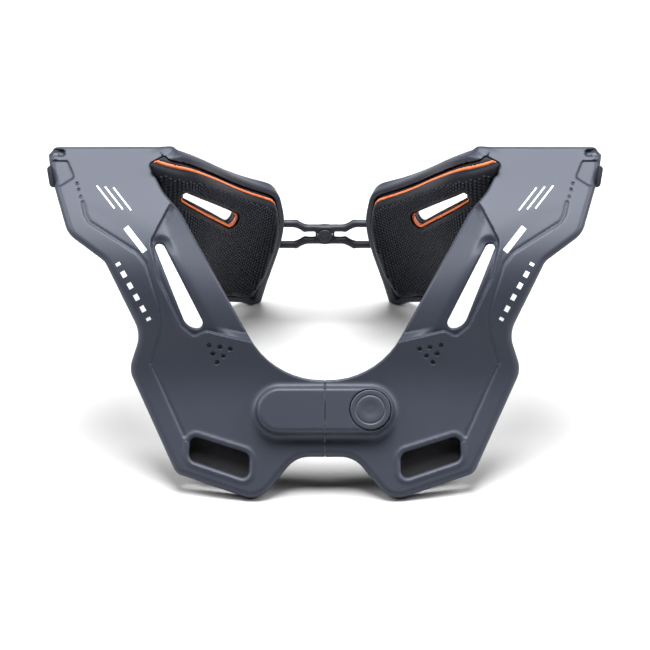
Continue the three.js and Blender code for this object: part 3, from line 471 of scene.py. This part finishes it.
def half_field(x, y, z, cavity):
    """Depth under the skin of one moulded half, to the right of the seam."""
    y, z = y + ORIGIN_Y, z + ORIGIN_Z
    w, t = y * SIN + z * COS, y * COS - z * SIN
    edge, long_slot, strap_slot, surface, thick, lean, round_off = front_table(x, w)
    depth = (t - surface) * lean
    across, height, inward, wall_lean = wall_place(x, y, z)
    past = WING_PAST * smooth_step(.53, .64, x / HALF_WIDTH)
    top = FACE_RISE + CREST_OVER - w
    outer = both(depth, inward * wall_lean + past, OUTER_ROUND)
    front = both(both(both(edge, outer, round_off), top, CUT_ROUND), thick * lean - depth, CUT_ROUND)
    front = both(both(front, long_slot, SLOT_ROUND), strap_slot, STRAP_ROUND)

    outline = wall_table(across, height)[0]
    wall_thick = WALL_SKIN + (TRAY_DEPTH - WALL_SKIN) * smooth_step(TRAY_RIM + .5, TRAY_RIM - .5, outline)
    under = FLAP_UNDER * smooth_step(.56, .68, x / HALF_WIDTH)
    rim = both(outline, both(depth - under, inward * wall_lean, FLAP_ROUND), RIM_ROUND)
    rear = both(both(rim, top, CUT_ROUND), (wall_thick - inward) * wall_lean, WALL_ROUND)
    rear = both(rear, from_slot(x, y, z)[0], WALL_ROUND)
    body = either(front, rear, SKIN_FILLET)

    up, out = boss_place(y, z)
    pill = BOSS_HALF_HEIGHT - np.sqrt(np.maximum(np.abs(x) - BUTTON_X, 0) ** 2 + up ** 2)
    boss = both(both(pill, BOSS_PROUD - out, BOSS_ROUND), out + BOSS_ROOT, BOSS_CUT)
    body = either(body, boss, BOSS_FILLET)
    if cavity:
        r = np.sqrt((x - BUTTON_X) ** 2 + up ** 2)
        floor = BOSS_PROUD + BUTTON_PROUD - BUTTON_THICK - BUTTON_TRAVEL - FIT
        body = both(body, np.maximum(r - BUTTON_RADIUS - FIT, floor - out), BOSS_CUT)
    body = both(body, x - HALF_SEAM, SEAM_ROUND)
    return both(body, z - ORIGIN_Z, FOOT_ROUND)


# Grid points along a block, and how many blocks are worked out at a time
BLOCK, BATCH = 4, 6000
# Steps that settle a point on the surface, and the run over which a field's slope is measured
SETTLE_TURNS, NUDGE = 3, .06


def chosen_points(field, low, high, step):
    """The field on a grid, worked out only near the surface."""
    low = np.array(low, np.float32)
    counts = [int(math.ceil((h - l) / step / BLOCK)) for l, h in zip(low, high)]
    coarse = [low[k] + step * (BLOCK * np.arange(counts[k]) + (BLOCK - 1) / 2) for k in range(3)]
    centre = np.meshgrid(*[c.astype(np.float32) for c in coarse], indexing="ij")
    rough = field(*[c.ravel() for c in centre]).reshape(centre[0].shape)
    near = np.argwhere(np.abs(rough) < step * BLOCK * 1.25 + .8)
    values = (np.sign(rough) * step * 3).astype(np.float32)
    for axis in range(3):
        values = np.repeat(values, BLOCK, axis)
    offsets = np.stack(np.meshgrid(*[np.arange(BLOCK)] * 3, indexing="ij"), -1).reshape(-1, 3)
    for start in range(0, len(near), BATCH):
        index = (near[start:start + BATCH, None, :] * BLOCK + offsets[None]).reshape(-1, 3)
        place = low + index.astype(np.float32) * step
        values[index[:, 0], index[:, 1], index[:, 2]] = field(place[:, 0], place[:, 1], place[:, 2])
    return low, values


def skin_of(field, low, high, step):
    """The surface of a field: its points, its four-sided and three-sided faces, and its normals."""
    low, values = chosen_points(field, low, high, step)
    grid = openvdb.FloatGrid(step * 3)
    grid.copyFromArray(-np.clip(values, -step * 3, step * 3).astype(np.float64))
    points, triangles, quads = grid.convertToPolygons(isovalue=0.0, adaptivity=0.0)
    points = low + points.astype(np.float32) * step

    def gradient(p, value):
        parts = []
        for k in range(3):
            q = p.copy()
            q[:, k] += NUDGE
            parts.append((field(q[:, 0], q[:, 1], q[:, 2]) - value) / NUDGE)
        return np.stack(parts, -1)

    for turn in range(SETTLE_TURNS):
        value = field(points[:, 0], points[:, 1], points[:, 2])
        g = gradient(points, value)
        size = np.maximum((g * g).sum(-1), .15)
        move = np.clip(value / size, -step * .5, step * .5)
        points = points - (g * move[:, None]).astype(np.float32) * (.9 if turn else .7)
    value = field(points[:, 0], points[:, 1], points[:, 2])
    normals = -gradient(points, value)
    normals /= np.maximum(np.linalg.norm(normals, axis=1, keepdims=True), 1e-6)
    return points, quads, triangles, normals


def mesh_piece(name, points, faces, normals=None, mirror=False):
    """A mesh object in metres from points in millimetres."""
    points = points.copy()
    if mirror:
        points[:, 0] *= -1
    mesh = bpy.data.meshes.new(name)
    total = sum(len(f) for f in faces)
    corners = np.concatenate([f.ravel() for f in faces]).astype(np.int32)
    sizes = np.concatenate([np.full(len(f), f.shape[1], np.int32) for f in faces if len(f)])
    mesh.vertices.add(len(points))
    mesh.vertices.foreach_set("co", (points * MM).astype(np.float32).ravel())
    mesh.loops.add(len(corners))
    mesh.polygons.add(total)
    starts = np.concatenate([[0], np.cumsum(sizes)[:-1]]).astype(np.int32)
    mesh.loops.foreach_set("vertex_index", corners)
    mesh.polygons.foreach_set("loop_start", starts)
    mesh.update(calc_edges=True)
    mesh.validate()
    if mirror:
        mesh.flip_normals()
    mesh.shade_smooth()
    if normals is not None:
        normals = normals.copy()
        if mirror:
            normals[:, 0] *= -1
        mesh.normals_split_custom_set_from_vertices(normals.astype(np.float32).tolist())
    piece = bpy.data.objects.new(name, mesh)
    bpy.context.scene.collection.objects.link(piece)
    return piece


def outward(points, faces, normals):
    """Faces turned so that they look the way of the normals."""
    turned = []
    for f in faces:
        if not len(f):
            continue
        a, b, c = points[f[:, 0]], points[f[:, 1]], points[f[:, 2]]
        facing = (np.cross(b - a, c - a) * normals[f].mean(1)).sum(-1)
        turned.append(f if np.median(facing) > 0 else f[:, ::-1])
    return turned


def field_piece(name, field, low, high, step, mirror=False):
    """A mesh object from a field's surface."""
    points, quads, triangles, normals = skin_of(field, low, high, step)
    faces = outward(points, [quads, triangles], normals)
    return mesh_piece(name, points, faces, normals, mirror)


# Colours and finishes
SHELL_COLOR, SHELL_ROUGH, SHELL_GLOSS = (.028, .032, .045), .47, .36
COOL_TINT = (.84, .88, 1, 1)
PRINT_COLOR, PRINT_FACING = (.78, .78, .79), .35
GRAIN_HIGH, FUZZ_HIGH = .00008, .0004


class Nodes:
    """A short way to write a material's nodes."""

    def __init__(self, name, color, roughness):
        self.material = bpy.data.materials.new(name)
        self.material.use_nodes = True
        self.tree = self.material.node_tree
        self.shader = self.tree.nodes["Principled BSDF"]
        self.shader.inputs["Base Color"].default_value = (*color, 1)
        self.shader.inputs["Roughness"].default_value = roughness
        self.material.diffuse_color = (*color, 1)
        self.place = self.tree.nodes.new("ShaderNodeTexCoord").outputs["Object"]

    def link(self, a, b):
        self.tree.links.new(a, b)

    def math(self, how, a, b=None):
        node = self.tree.nodes.new("ShaderNodeMath")
        node.operation = how
        for socket, value in zip(node.inputs, (a, b)):
            if value is None:
                continue
            if isinstance(value, (int, float)):
                socket.default_value = value
            else:
                self.link(value, socket)
        return node.outputs[0]

    def noise(self, scale, detail=2.0, rough=.5):
        node = self.tree.nodes.new("ShaderNodeTexNoise")
        node.inputs["Scale"].default_value = scale
        node.inputs["Detail"].default_value = detail
        node.inputs["Roughness"].default_value = rough
        self.link(self.place, node.inputs["Vector"])
        return node.outputs["Fac"]

    def spread(self, value, low, high):
        node = self.tree.nodes.new("ShaderNodeMapRange")
        node.inputs["To Min"].default_value = low
        node.inputs["To Max"].default_value = high
        self.link(value, node.inputs["Value"])
        return node.outputs["Result"]

    def mix(self, share, a, b):
        node = self.tree.nodes.new("ShaderNodeMix")
        node.data_type = "RGBA"
        self.link(share, node.inputs["Factor"])
        for key, value in ((6, a), (7, b)):
            if isinstance(value, tuple):
                node.inputs[key].default_value = (*value, 1)
            else:
                self.link(value, node.inputs[key])
        return node.outputs[2]

    def bump(self, height, strength, distance):
        node = self.tree.nodes.new("ShaderNodeBump")
        node.inputs["Strength"].default_value = strength
        node.inputs["Distance"].default_value = distance
        self.link(height, node.inputs["Height"])
        self.link(node.outputs["Normal"], self.shader.inputs["Normal"])

    def plastic_detail(self, color, roughness, grain=2600.0, strength=.16):
        """Fine moulded grain, slow changes of tone and roughness."""
        slow, fine = self.noise(9.0, 3.0), self.noise(grain, 2.0, .6)
        darker = tuple(c * .86 for c in color)
        lighter = tuple(c * 1.12 for c in color)
        tone = self.mix(slow, darker, lighter)
        self.link(tone, self.shader.inputs["Base Color"])
        sheen = self.math("ADD", self.spread(slow, roughness - .05, roughness + .03),
                          self.spread(fine, -.04, .04))
        self.link(sheen, self.shader.inputs["Roughness"])
        self.bump(fine, strength, GRAIN_HIGH)
        return tone


def shell_material():
    """Moulded charcoal plastic with a plain white print of slanted bars and dashes."""
    n = Nodes("moulded_shell", SHELL_COLOR, SHELL_ROUGH)
    tone = n.plastic_detail(SHELL_COLOR, SHELL_ROUGH)
    n.shader.inputs["Specular IOR Level"].default_value = SHELL_GLOSS
    n.shader.inputs["Specular Tint"].default_value = COOL_TINT
    parts = n.tree.nodes.new("ShaderNodeSeparateXYZ")
    n.link(n.place, parts.inputs[0])
    across = n.math("ABSOLUTE", parts.outputs["X"])
    up = n.math("ADD", n.math("MULTIPLY", parts.outputs["Y"], SIN),
                n.math("MULTIPLY", parts.outputs["Z"], COS))
    up = n.math("ADD", up, (ORIGIN_Y * SIN + ORIGIN_Z * COS) * MM)

    def bar(x, w, angle, long, wide, pitch):
        """A mask that is one inside a bar, or inside its dashes."""
        c, s = math.cos(math.radians(angle)), math.sin(math.radians(angle))
        dx, dw = n.math("SUBTRACT", across, x * MM), n.math("SUBTRACT", up, w * MM)
        along = n.math("ADD", n.math("MULTIPLY", dx, c), n.math("MULTIPLY", dw, s))
        over = n.math("SUBTRACT", n.math("MULTIPLY", dw, c), n.math("MULTIPLY", dx, s))
        inside_long = n.math("LESS_THAN", n.math("ABSOLUTE", along), long * HALF_MM)
        inside_wide = n.math("LESS_THAN", n.math("ABSOLUTE", over), wide * HALF_MM)
        mask = n.math("MULTIPLY", inside_long, inside_wide)
        if pitch:
            phase = n.math("PINGPONG", along, pitch * HALF_MM)
            mask = n.math("MULTIPLY", mask, n.math("GREATER_THAN", phase, pitch * HALF_MM * DASH_SHARE))
        return mask

    marks = [bar(*row) for row in PRINT]
    total = marks[0]
    for mark in marks[1:]:
        total = n.math("MAXIMUM", total, mark)
    normal = n.tree.nodes.new("ShaderNodeNewGeometry").outputs["Normal"]
    facing = n.tree.nodes.new("ShaderNodeVectorMath")
    facing.operation = "DOT_PRODUCT"
    facing.inputs[1].default_value = (0, -COS, SIN)
    n.link(normal, facing.inputs[0])
    total = n.math("MULTIPLY", total, n.math("GREATER_THAN", facing.outputs["Value"], PRINT_FACING))
    n.link(n.mix(total, tone, PRINT_COLOR), n.shader.inputs["Base Color"])
    return n.material


def plain_plastic(name, color, roughness, grain=2600.0, strength=.16, gloss=.5):
    """Moulded plastic or rubber of one colour."""
    n = Nodes(name, color, roughness)
    n.shader.inputs["Specular IOR Level"].default_value = gloss
    n.shader.inputs["Specular Tint"].default_value = COOL_TINT
    n.plastic_detail(color, roughness, grain, strength)
    return n.material


def cloth_material():
    """Brushed knit over foam."""
    n = Nodes("pad_knit", (.012, .012, .015), .92)
    n.shader.inputs["Sheen Weight"].default_value = .35
    n.shader.inputs["Sheen Roughness"].default_value = .5
    scaled = n.tree.nodes.new("ShaderNodeMapping")
    scaled.inputs["Scale"].default_value = (900, 900, 900)
    n.link(n.place, scaled.inputs["Vector"])
    cells = n.tree.nodes.new("ShaderNodeTexVoronoi")
    cells.feature = "F1"
    n.link(scaled.outputs[0], cells.inputs["Vector"])
    fuzz = n.noise(3500.0, 2.0, .7)
    height = n.math("ADD", n.math("MULTIPLY", cells.outputs["Distance"], -.8), fuzz)
    n.link(n.mix(fuzz, (.006, .006, .008), (.022, .022, .027)), n.shader.inputs["Base Color"])
    n.bump(height, .7, FUZZ_HIGH)
    return n.material


shell = shell_material()
button_plastic = plain_plastic("button_plastic", (.025, .0285, .04), .47)
trim_plastic = plain_plastic("trim_plastic", (.02, .021, .028), .5)
pin_plastic = plain_plastic("pin_plastic", (.16, .165, .19), .35, 900.0, .05)
link_plastic = plain_plastic("link_plastic", (.012, .0125, .016), .5)
foam_rubber = plain_plastic("foam_rubber", (.009, .0095, .013), .72, 1500.0, .4)
grip_rubber = plain_plastic("grip_rubber", (.004, .0045, .0075), .56, 1800.0, .25, .22)
# The cells' rubber is a lighter copy of the grip rubber: a painted highlight for the light the raised cells
# catch, added to their real shading
cell_rubber_painted_highlight = plain_plastic("cell_rubber_painted_highlight", (.011, .012, .017), .5, 1800.0, .2, .22)
orange_rubber = plain_plastic("orange_rubber", (.8, .19, .06), .55, 1500.0, .2)
knit = cloth_material()


def dress(piece, material, slot, *nodes, body="brace"):
    """A piece's material, the body that it rides on, and the nodes that it stands for; the slot is not used.
    """
    piece.data.materials.clear()
    piece.data.materials.append(material)
    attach(piece, body)
    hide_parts(*nodes)
    return piece


# The two moulded halves, each split in a front and a rear piece with common points
SHELL_STEP = .75
for side, cavity in (("right", True), ("left", False)):
    def field(x, y, z, cavity=cavity):
        return half_field(x, y, z, cavity)

    points, quads, triangles, normals = skin_of(field, *HALF_BOX, SHELL_STEP)
    faces = outward(points, [quads, triangles], normals)
    for part, keep in (("front", True), ("rear", False)):
        chosen = []
        for f in faces:
            middle = points[f].mean(1)
            w = (middle[:, 1] + ORIGIN_Y) * SIN + (middle[:, 2] + ORIGIN_Z) * COS
            t = (middle[:, 1] + ORIGIN_Y) * COS - (middle[:, 2] + ORIGIN_Z) * SIN
            ahead = t < front_table(middle[:, 0], w, which=(3,))[0] + FRONT_REACH
            chosen.append(f[ahead == keep])
        used = np.unique(np.concatenate([f.ravel() for f in chosen]))
        renumber = np.zeros(len(points), np.int64)
        renumber[used] = np.arange(len(used))
        piece = mesh_piece(f"{part}_shell_{side}", points[used], [renumber[f] for f in chosen if len(f)],
                           normals[used], mirror=side == "left")
        dress(piece, shell, "shell", f"half_frame_{side}")


# Rear pads: foam, an orange layer with a sleeve through the slot, and a grip face with raised cells
foam_start = WALL_SKIN + LAYER_FIT
accent_start = foam_start + FOAM + LAYER_FIT
grip_start = accent_start + ACCENT + LAYER_FIT
grip_end = grip_start + GRIP


def low_side(across, height):
    """One along a pad's lower edge and nothing along its rim, from shares of the width and the crest."""
    return smooth_step(.03, -.03, height - .4 - (across - .2) * .75)


def foot_cut(height):
    """How far the layers draw in at the pad's foot."""
    return FOOT_CUT * smooth_step(.2, .05, height)


def overhang(across, height):
    """How far the grip face laps over the tray's rim along its lower edge."""
    return GRIP_LAP * low_side(across, height) * smooth_step(.28, .38, across) * smooth_step(.06, .18, height)


def layer(shrink, start, end, edge, slot_gap, sleeve=False, rim=False):
    """The field of one layer of the right pad, between two depths from the wall's outer face."""
    def field(x, y, z):
        y, z = y + ORIGIN_Y, z + ORIGIN_Z
        across, height, inward, lean = wall_place(x, y, z)
        share, rise = across / HALF_WIDTH, height / CREST_Z
        hidden = SLEEVE_HIDDEN * low_side(share, rise) if sleeve else 0
        outline = wall_table(across, height)[0] - TRAY_RIM - FIT - shrink - hidden
        outline = outline - foot_cut(rise)
        if rim:
            outline = outline + overhang(share, rise)
        outline = both(outline, PAD_END * HALF_WIDTH - across, 3)
        slot, above = from_slot(x, y, z)
        top = end
        if rim:
            top = end + GRIP_BEAD * np.exp(-((slot - slot_gap - 1.2) / 1.0) ** 2)
        body = both(outline, (top - inward) * lean, edge)
        body = both(body, (inward - start) * lean, .4)
        body = both(body, slot - slot_gap, .9)
        if sleeve:
            ring = both(SLEEVE_HALF - np.abs(slot - SLEEVE_IN), (grip_end - 1 - inward) * lean, .4)
            ring = both(ring, .4 - above, .3)
            body = np.maximum(body, both(both(ring, (inward - start) * lean, .4), outline, .3))
        w, t = y * SIN + z * COS, y * COS - z * SIN
        edge_in, surface, thick = front_table(x, w, which=(0, 3, 4))
        outside = np.maximum(-edge_in - .2, t - surface - thick - .2)
        return both(body, outside, .6)

    return field


PAD_STEP = .95
for side in ("right", "left"):
    mirror = side == "left"
    base = field_piece(f"pad_foam_{side}", layer(0, foam_start, foam_start + FOAM, 1.6, .3),
                       *PAD_BOX, PAD_STEP * 1.25, mirror)
    dress(base, foam_rubber, "pad_foam", f"rear_pad_base_{side}")
    stripe = layer(.35, accent_start + .3, accent_start + ACCENT - .2, .5, 2.4, sleeve=True)
    accent = field_piece(f"pad_accent_{side}", stripe, *PAD_BOX, PAD_STEP * .9, mirror)
    dress(accent, orange_rubber, "pad_accent", f"rear_pad_accent_{side}")
    grip = field_piece(f"pad_grip_{side}", layer(.9, grip_start - .4, grip_end, 3.2, 1.7, rim=True),
                       *PAD_BOX, PAD_STEP, mirror)
    dress(grip, grip_rubber, "pad_grip", f"rear_pad_grip_{side}")

# Raised cells on the grip face, in rows along the wall, kept where the face is wide enough and can be seen
dense = np.linspace(.12, PAD_END, 900) * HALF_WIDTH
dense_points = wall_point(dense, np.full_like(dense, 70.0), grip_end)
length = np.concatenate([[0], np.cumsum(np.linalg.norm(np.diff(dense_points, axis=0), axis=1))])
columns = np.interp(np.arange(0, length[-1], CELL_PITCH), length, dense)
rows = np.arange(0, 145, CELL_PITCH)
cell_across, cell_height = [v.ravel() for v in np.meshgrid(columns, rows, indexing="ij")]
centre = wall_point(cell_across, cell_height, grip_end)
room = wall_table(cell_across, cell_height)[0] - TRAY_RIM - FIT - CELL_SHRINK
slot_room = from_slot(centre[:, 0], centre[:, 1], centre[:, 2])[0]
w = centre[:, 1] * SIN + centre[:, 2] * COS
t = centre[:, 1] * COS - centre[:, 2] * SIN
edge_in, surface, thick = front_table(centre[:, 0], w, which=(0, 3, 4))
clear = (edge_in < -1.5) | (t > surface + thick + 1.5)
room = room - foot_cut(cell_height / CREST_Z)
room = room + overhang(cell_across / HALF_WIDTH, cell_height / CREST_Z)
keep = (room > CELL_ROOM) & (slot_room > CELL_SLOT_ROOM) & clear & (cell_across < PAD_END * HALF_WIDTH - 4)
centre, cell_across, cell_height = centre[keep], cell_across[keep], cell_height[keep]
ahead = wall_point(cell_across + .2, cell_height, grip_end) - centre
above = wall_point(cell_across, cell_height + .2, grip_end) - centre
ahead /= np.linalg.norm(ahead, axis=1, keepdims=True)
above -= ahead * (above * ahead).sum(1, keepdims=True)
above /= np.linalg.norm(above, axis=1, keepdims=True)
out = np.cross(ahead, above)
toward = wall_point(cell_across, cell_height, grip_end + .5) - centre
out *= np.sign((out * toward).sum(1, keepdims=True))
square = np.array(((-1, -1), (1, -1), (1, 1), (-1, 1)), float) / 2
rings = []
for size, lift in ((CELL_WIDE, -CELL_ROOT), (CELL_WIDE, CELL_HIGH * .55), (CELL_TOP, CELL_HIGH)):
    for sx, sy in square:
        rings.append(centre + ahead * sx * size + above * sy * size * .9 + out * lift)
cells = np.stack(rings, 1)
quads = [(8, 9, 10, 11)]
for k in range(4):
    after = (k + 1) % 4
    quads += [(k, after, 4 + after, 4 + k), (4 + k, 4 + after, 8 + after, 8 + k)]
index = (np.array(quads)[None] + 12 * np.arange(len(cells))[:, None, None]).reshape(-1, 4)
cell_points = (cells.reshape(-1, 3) - (0, ORIGIN_Y, ORIGIN_Z)).astype(np.float32)
# The cells wear the lighter cell rubber, a painted highlight on the grip face's own rubber
for side in ("right", "left"):
    piece = mesh_piece(f"pad_cells_{side}", cell_points, [index], mirror=side == "left")
    piece.data.shade_flat()
    dress(piece, cell_rubber_painted_highlight, "pad_grip", f"rear_pad_grip_{side}")


def chest_field(x, y, z):
    """A chest pad: brushed foam behind the chest plate, puffed a little."""
    y, z = y + ORIGIN_Y, z + ORIGIN_Z
    w, t = y * SIN + z * COS, y * COS - z * SIN
    surface, lean = front_table(x, w, which=(3, 5))
    pocket, slot, strap = pocket_table(x, w)  # distances inside the pocket and from the two slots
    depth = (t - surface) * lean
    outline = both(pocket - FIT - CHEST_IN, slot - CHEST_SLOT_ROOM, 2)
    outline = both(outline, CHEST_TOP * FACE_RISE - w, 3)
    puff = PUFF * smooth_step(0, 12, outline)
    body = both(outline, SKIN + FIT + CHEST_FOAM - PUFF + puff - depth, 4)
    body = both(body, depth - SKIN - FIT - .2, 1.2)
    way = np.maximum(strap - STRAP_ROOM, depth - SKIN - FIT - STRAP_DEEP)
    return both(body, way, 1)


pocket_table = Table(*FACE_BOX, .5, lambda x, w: [
    inside(rounded(on_face(POCKET)), x, w), -inside(rounded(on_face(LONG_SLOT)), x, w),
    -inside(rounded(on_face(STRAP_SLOT)), x, w)])
for side in ("right", "left"):
    pad = field_piece(f"chest_foam_{side}", chest_field, *CHEST_BOX, PAD_STEP * 1.3, side == "left")
    dress(pad, knit, "pad_cloth", f"chest_pad_{side}")


def button_field(x, y, z):
    """The release button, with a plain ring and a shallow dish."""
    up, out = boss_place(y + ORIGIN_Y, z + ORIGIN_Z)
    r = np.sqrt((x - BUTTON_X) ** 2 + up ** 2)
    relief = RING_DEEP * np.exp(-((r - RING_RADIUS) / RING_WIDE) ** 2) + DISH_DEEP * smooth_step(5.8, 1.5, r)
    body = both(BUTTON_RADIUS - r, BOSS_PROUD + BUTTON_PROUD - relief - out, .7)
    return both(body, out - (BOSS_PROUD + BUTTON_PROUD - BUTTON_THICK), .3)


def around(node, grow):
    """A node's box in millimetres, grown on all sides."""
    low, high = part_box(node)
    return [tuple(1000 * c - grow for c in low), tuple(1000 * c + grow for c in high)]


BUTTON_STEP = .36
button = field_piece("thumb_button", button_field, *around("release_button", 2), BUTTON_STEP)
dress(button, button_plastic, "button", "release_button", body="button")

# The rear link and its pin
link_z = LINK_HEIGHT * CREST_Z
socket_in = TRAY_DEPTH * LINK_SEAT
socket = wall_point(np.array([LINK_REACH * HALF_WIDTH]), np.array([link_z + FALL * socket_in]), socket_in)[0]
link_y = socket[1]


def capsule(x, y, z, a, b, radius):
    """A rod with round ends between two points of the link's plane."""
    a, b = np.array(a), np.array(b)
    e = b - a
    t = np.clip(((x - a[0]) * e[0] + (z - a[1]) * e[1]) / (e @ e), 0, 1)
    return radius - np.sqrt((x - a[0] - t * e[0]) ** 2 + y ** 2 + (z - a[1] - t * e[1]) ** 2)


def link_field(x, y, z):
    """The four bent arms and the ring of the rear link."""
    y, z = y + ORIGIN_Y - link_y, z + ORIGIN_Z - link_z
    x = np.abs(x)
    reach = LINK_REACH * HALF_WIDTH + LINK_SOCKET + 1.5
    r = np.sqrt(x ** 2 + z ** 2)
    body = both(LINK_RING - r, LINK_THICK / 2 - np.abs(y), .8)
    for s in (1, -1):
        mid, end = s * LINK_MID_SPREAD, s * LINK_END_SPREAD
        near, far = (LINK_BEND - LINK_BEND_HALF, mid), (LINK_BEND + LINK_BEND_HALF, end)
        arm = capsule(x, y, z, (0, mid), near, LINK_BAR)
        arm = either(arm, capsule(x, y, z, near, far, LINK_BAR), .8)
        arm = either(arm, capsule(x, y, z, far, (reach, end), LINK_BAR), .8)
        body = either(body, arm, 1.2)
    return both(body, r - LINK_PIN - FIT, .3)


def pin_field(x, y, z):
    """The round pin in the link's ring."""
    y, z = y + ORIGIN_Y - link_y, z + ORIGIN_Z - link_z
    r = np.sqrt(x ** 2 + z ** 2)
    relief = .35 * smooth_step(2.3, 1.8, r)
    return both(LINK_PIN - r, LINK_THICK / 2 + LINK_PIN_PROUD - relief - np.abs(y), .6)


LINK_STEP = .46
link = field_piece("rear_link_arms", link_field, *around("rear_link", 1.5), LINK_STEP)
dress(link, link_plastic, "link", "rear_link")
pin = field_piece("rear_link_rivet", pin_field, *around("rear_link_pin", 1.5), LINK_STEP * .8)
dress(pin, trim_plastic, "trim", "rear_link_pin")


def soft_copy(node, name, material, slot, width):
    """A small corner piece: a copy of a node's mesh with bevelled edges."""
    piece = bpy.data.objects.new(name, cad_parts[node].data.copy())
    bpy.context.scene.collection.objects.link(piece)
    for kind, settings in (("WELD", {"merge_threshold": 1e-6}),
                           ("BEVEL", {"width": width, "segments": 3, "angle_limit": math.radians(40)})):
        modifier = piece.modifiers.new(kind.lower(), kind)
        for key, value in settings.items():
            setattr(modifier, key, value)
    bpy.context.view_layer.update()
    shaped = bpy.data.meshes.new_from_object(piece.evaluated_get(bpy.context.evaluated_depsgraph_get()))
    piece.modifiers.clear()
    piece.data = shaped
    piece.data.shade_smooth()
    return dress(piece, material, slot, node)


for side in ("right", "left"):
    soft_copy(f"corner_clip_{side}", f"wing_clip_{side}", trim_plastic, "trim", .0005)
    soft_copy(f"corner_pin_{side}", f"wing_pin_{side}", pin_plastic, "pin", .0004)

# The hidden latch tongue stays as the frame has it
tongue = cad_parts["latch_tongue"]
tongue.data.materials.clear()
tongue.data.materials.append(trim_plastic)


# Floor and lights
FLOOR_COLOR, FLOOR_DROP = (.52, .52, .523), .0004
WORLD_COLOR, WORLD_LIGHT = (.97, .98, 1, 1), .05
TOP_WATTS, SIDE_WATTS = 112, 34
LAMP_TARGET = (0, 0, .06)


def studio(name, color, roughness):
    """A matt pale surface with a faint change of tone."""
    n = Nodes(name, color, roughness)
    n.link(n.mix(n.noise(1.2), tuple(c * .985 for c in color), color), n.shader.inputs["Base Color"])
    return n.material


bpy.ops.mesh.primitive_plane_add(size=60, location=(0, 0, -FLOOR_DROP))
floor = bpy.context.object
floor.name = "floor"
floor.data.materials.append(studio("pale_floor", FLOOR_COLOR, .9))

world = bpy.context.scene.world or bpy.data.worlds.new("studio")
bpy.context.scene.world = world
world.use_nodes = True
bpy.context.scene.view_settings.view_transform = "Standard"
world.node_tree.nodes["Background"].inputs["Color"].default_value = WORLD_COLOR
world.node_tree.nodes["Background"].inputs["Strength"].default_value = WORLD_LIGHT


def area(name, place, size, power):
    """A round lamp that looks at the brace."""
    light = bpy.data.lights.new(name, "AREA")
    light.shape, light.size, light.energy = "DISK", size, power
    lamp = bpy.data.objects.new(name, light)
    bpy.context.scene.collection.objects.link(lamp)
    lamp.location = place
    lamp.rotation_euler = (Vector(LAMP_TARGET) - Vector(place)).to_track_quat("-Z", "Y").to_euler()


area("overhead", (0, .1, 2.2), 1.5, TOP_WATTS)
for side in (-1, 1):
    area("side_light", (1.5 * side, .05, 1.2), 1.2, SIDE_WATTS)

# The camera, as in the photograph
VIEW_MIDDLE, VIEW_WIDE = 88.75, .3354  # the view's middle on the drawing plane, and its width in metres
LENS, SENSOR = 1000, 36
target = Vector((0, (VIEW_MIDDLE * SIN - ORIGIN_Y) * MM, (VIEW_MIDDLE * COS - ORIGIN_Z) * MM))
camera_data = bpy.data.cameras.new("camera")
camera_data.lens, camera_data.sensor_width = LENS, SENSOR
camera_data.clip_end = 100
distance = VIEW_WIDE * LENS / SENSOR
camera = bpy.data.objects.new("camera", camera_data)
bpy.context.scene.collection.objects.link(camera)
camera.location = target + distance * Vector((0, -COS, SIN))
camera.rotation_euler = (target - camera.location).to_track_quat("-Z", "Y").to_euler()
bpy.context.scene.camera = camera
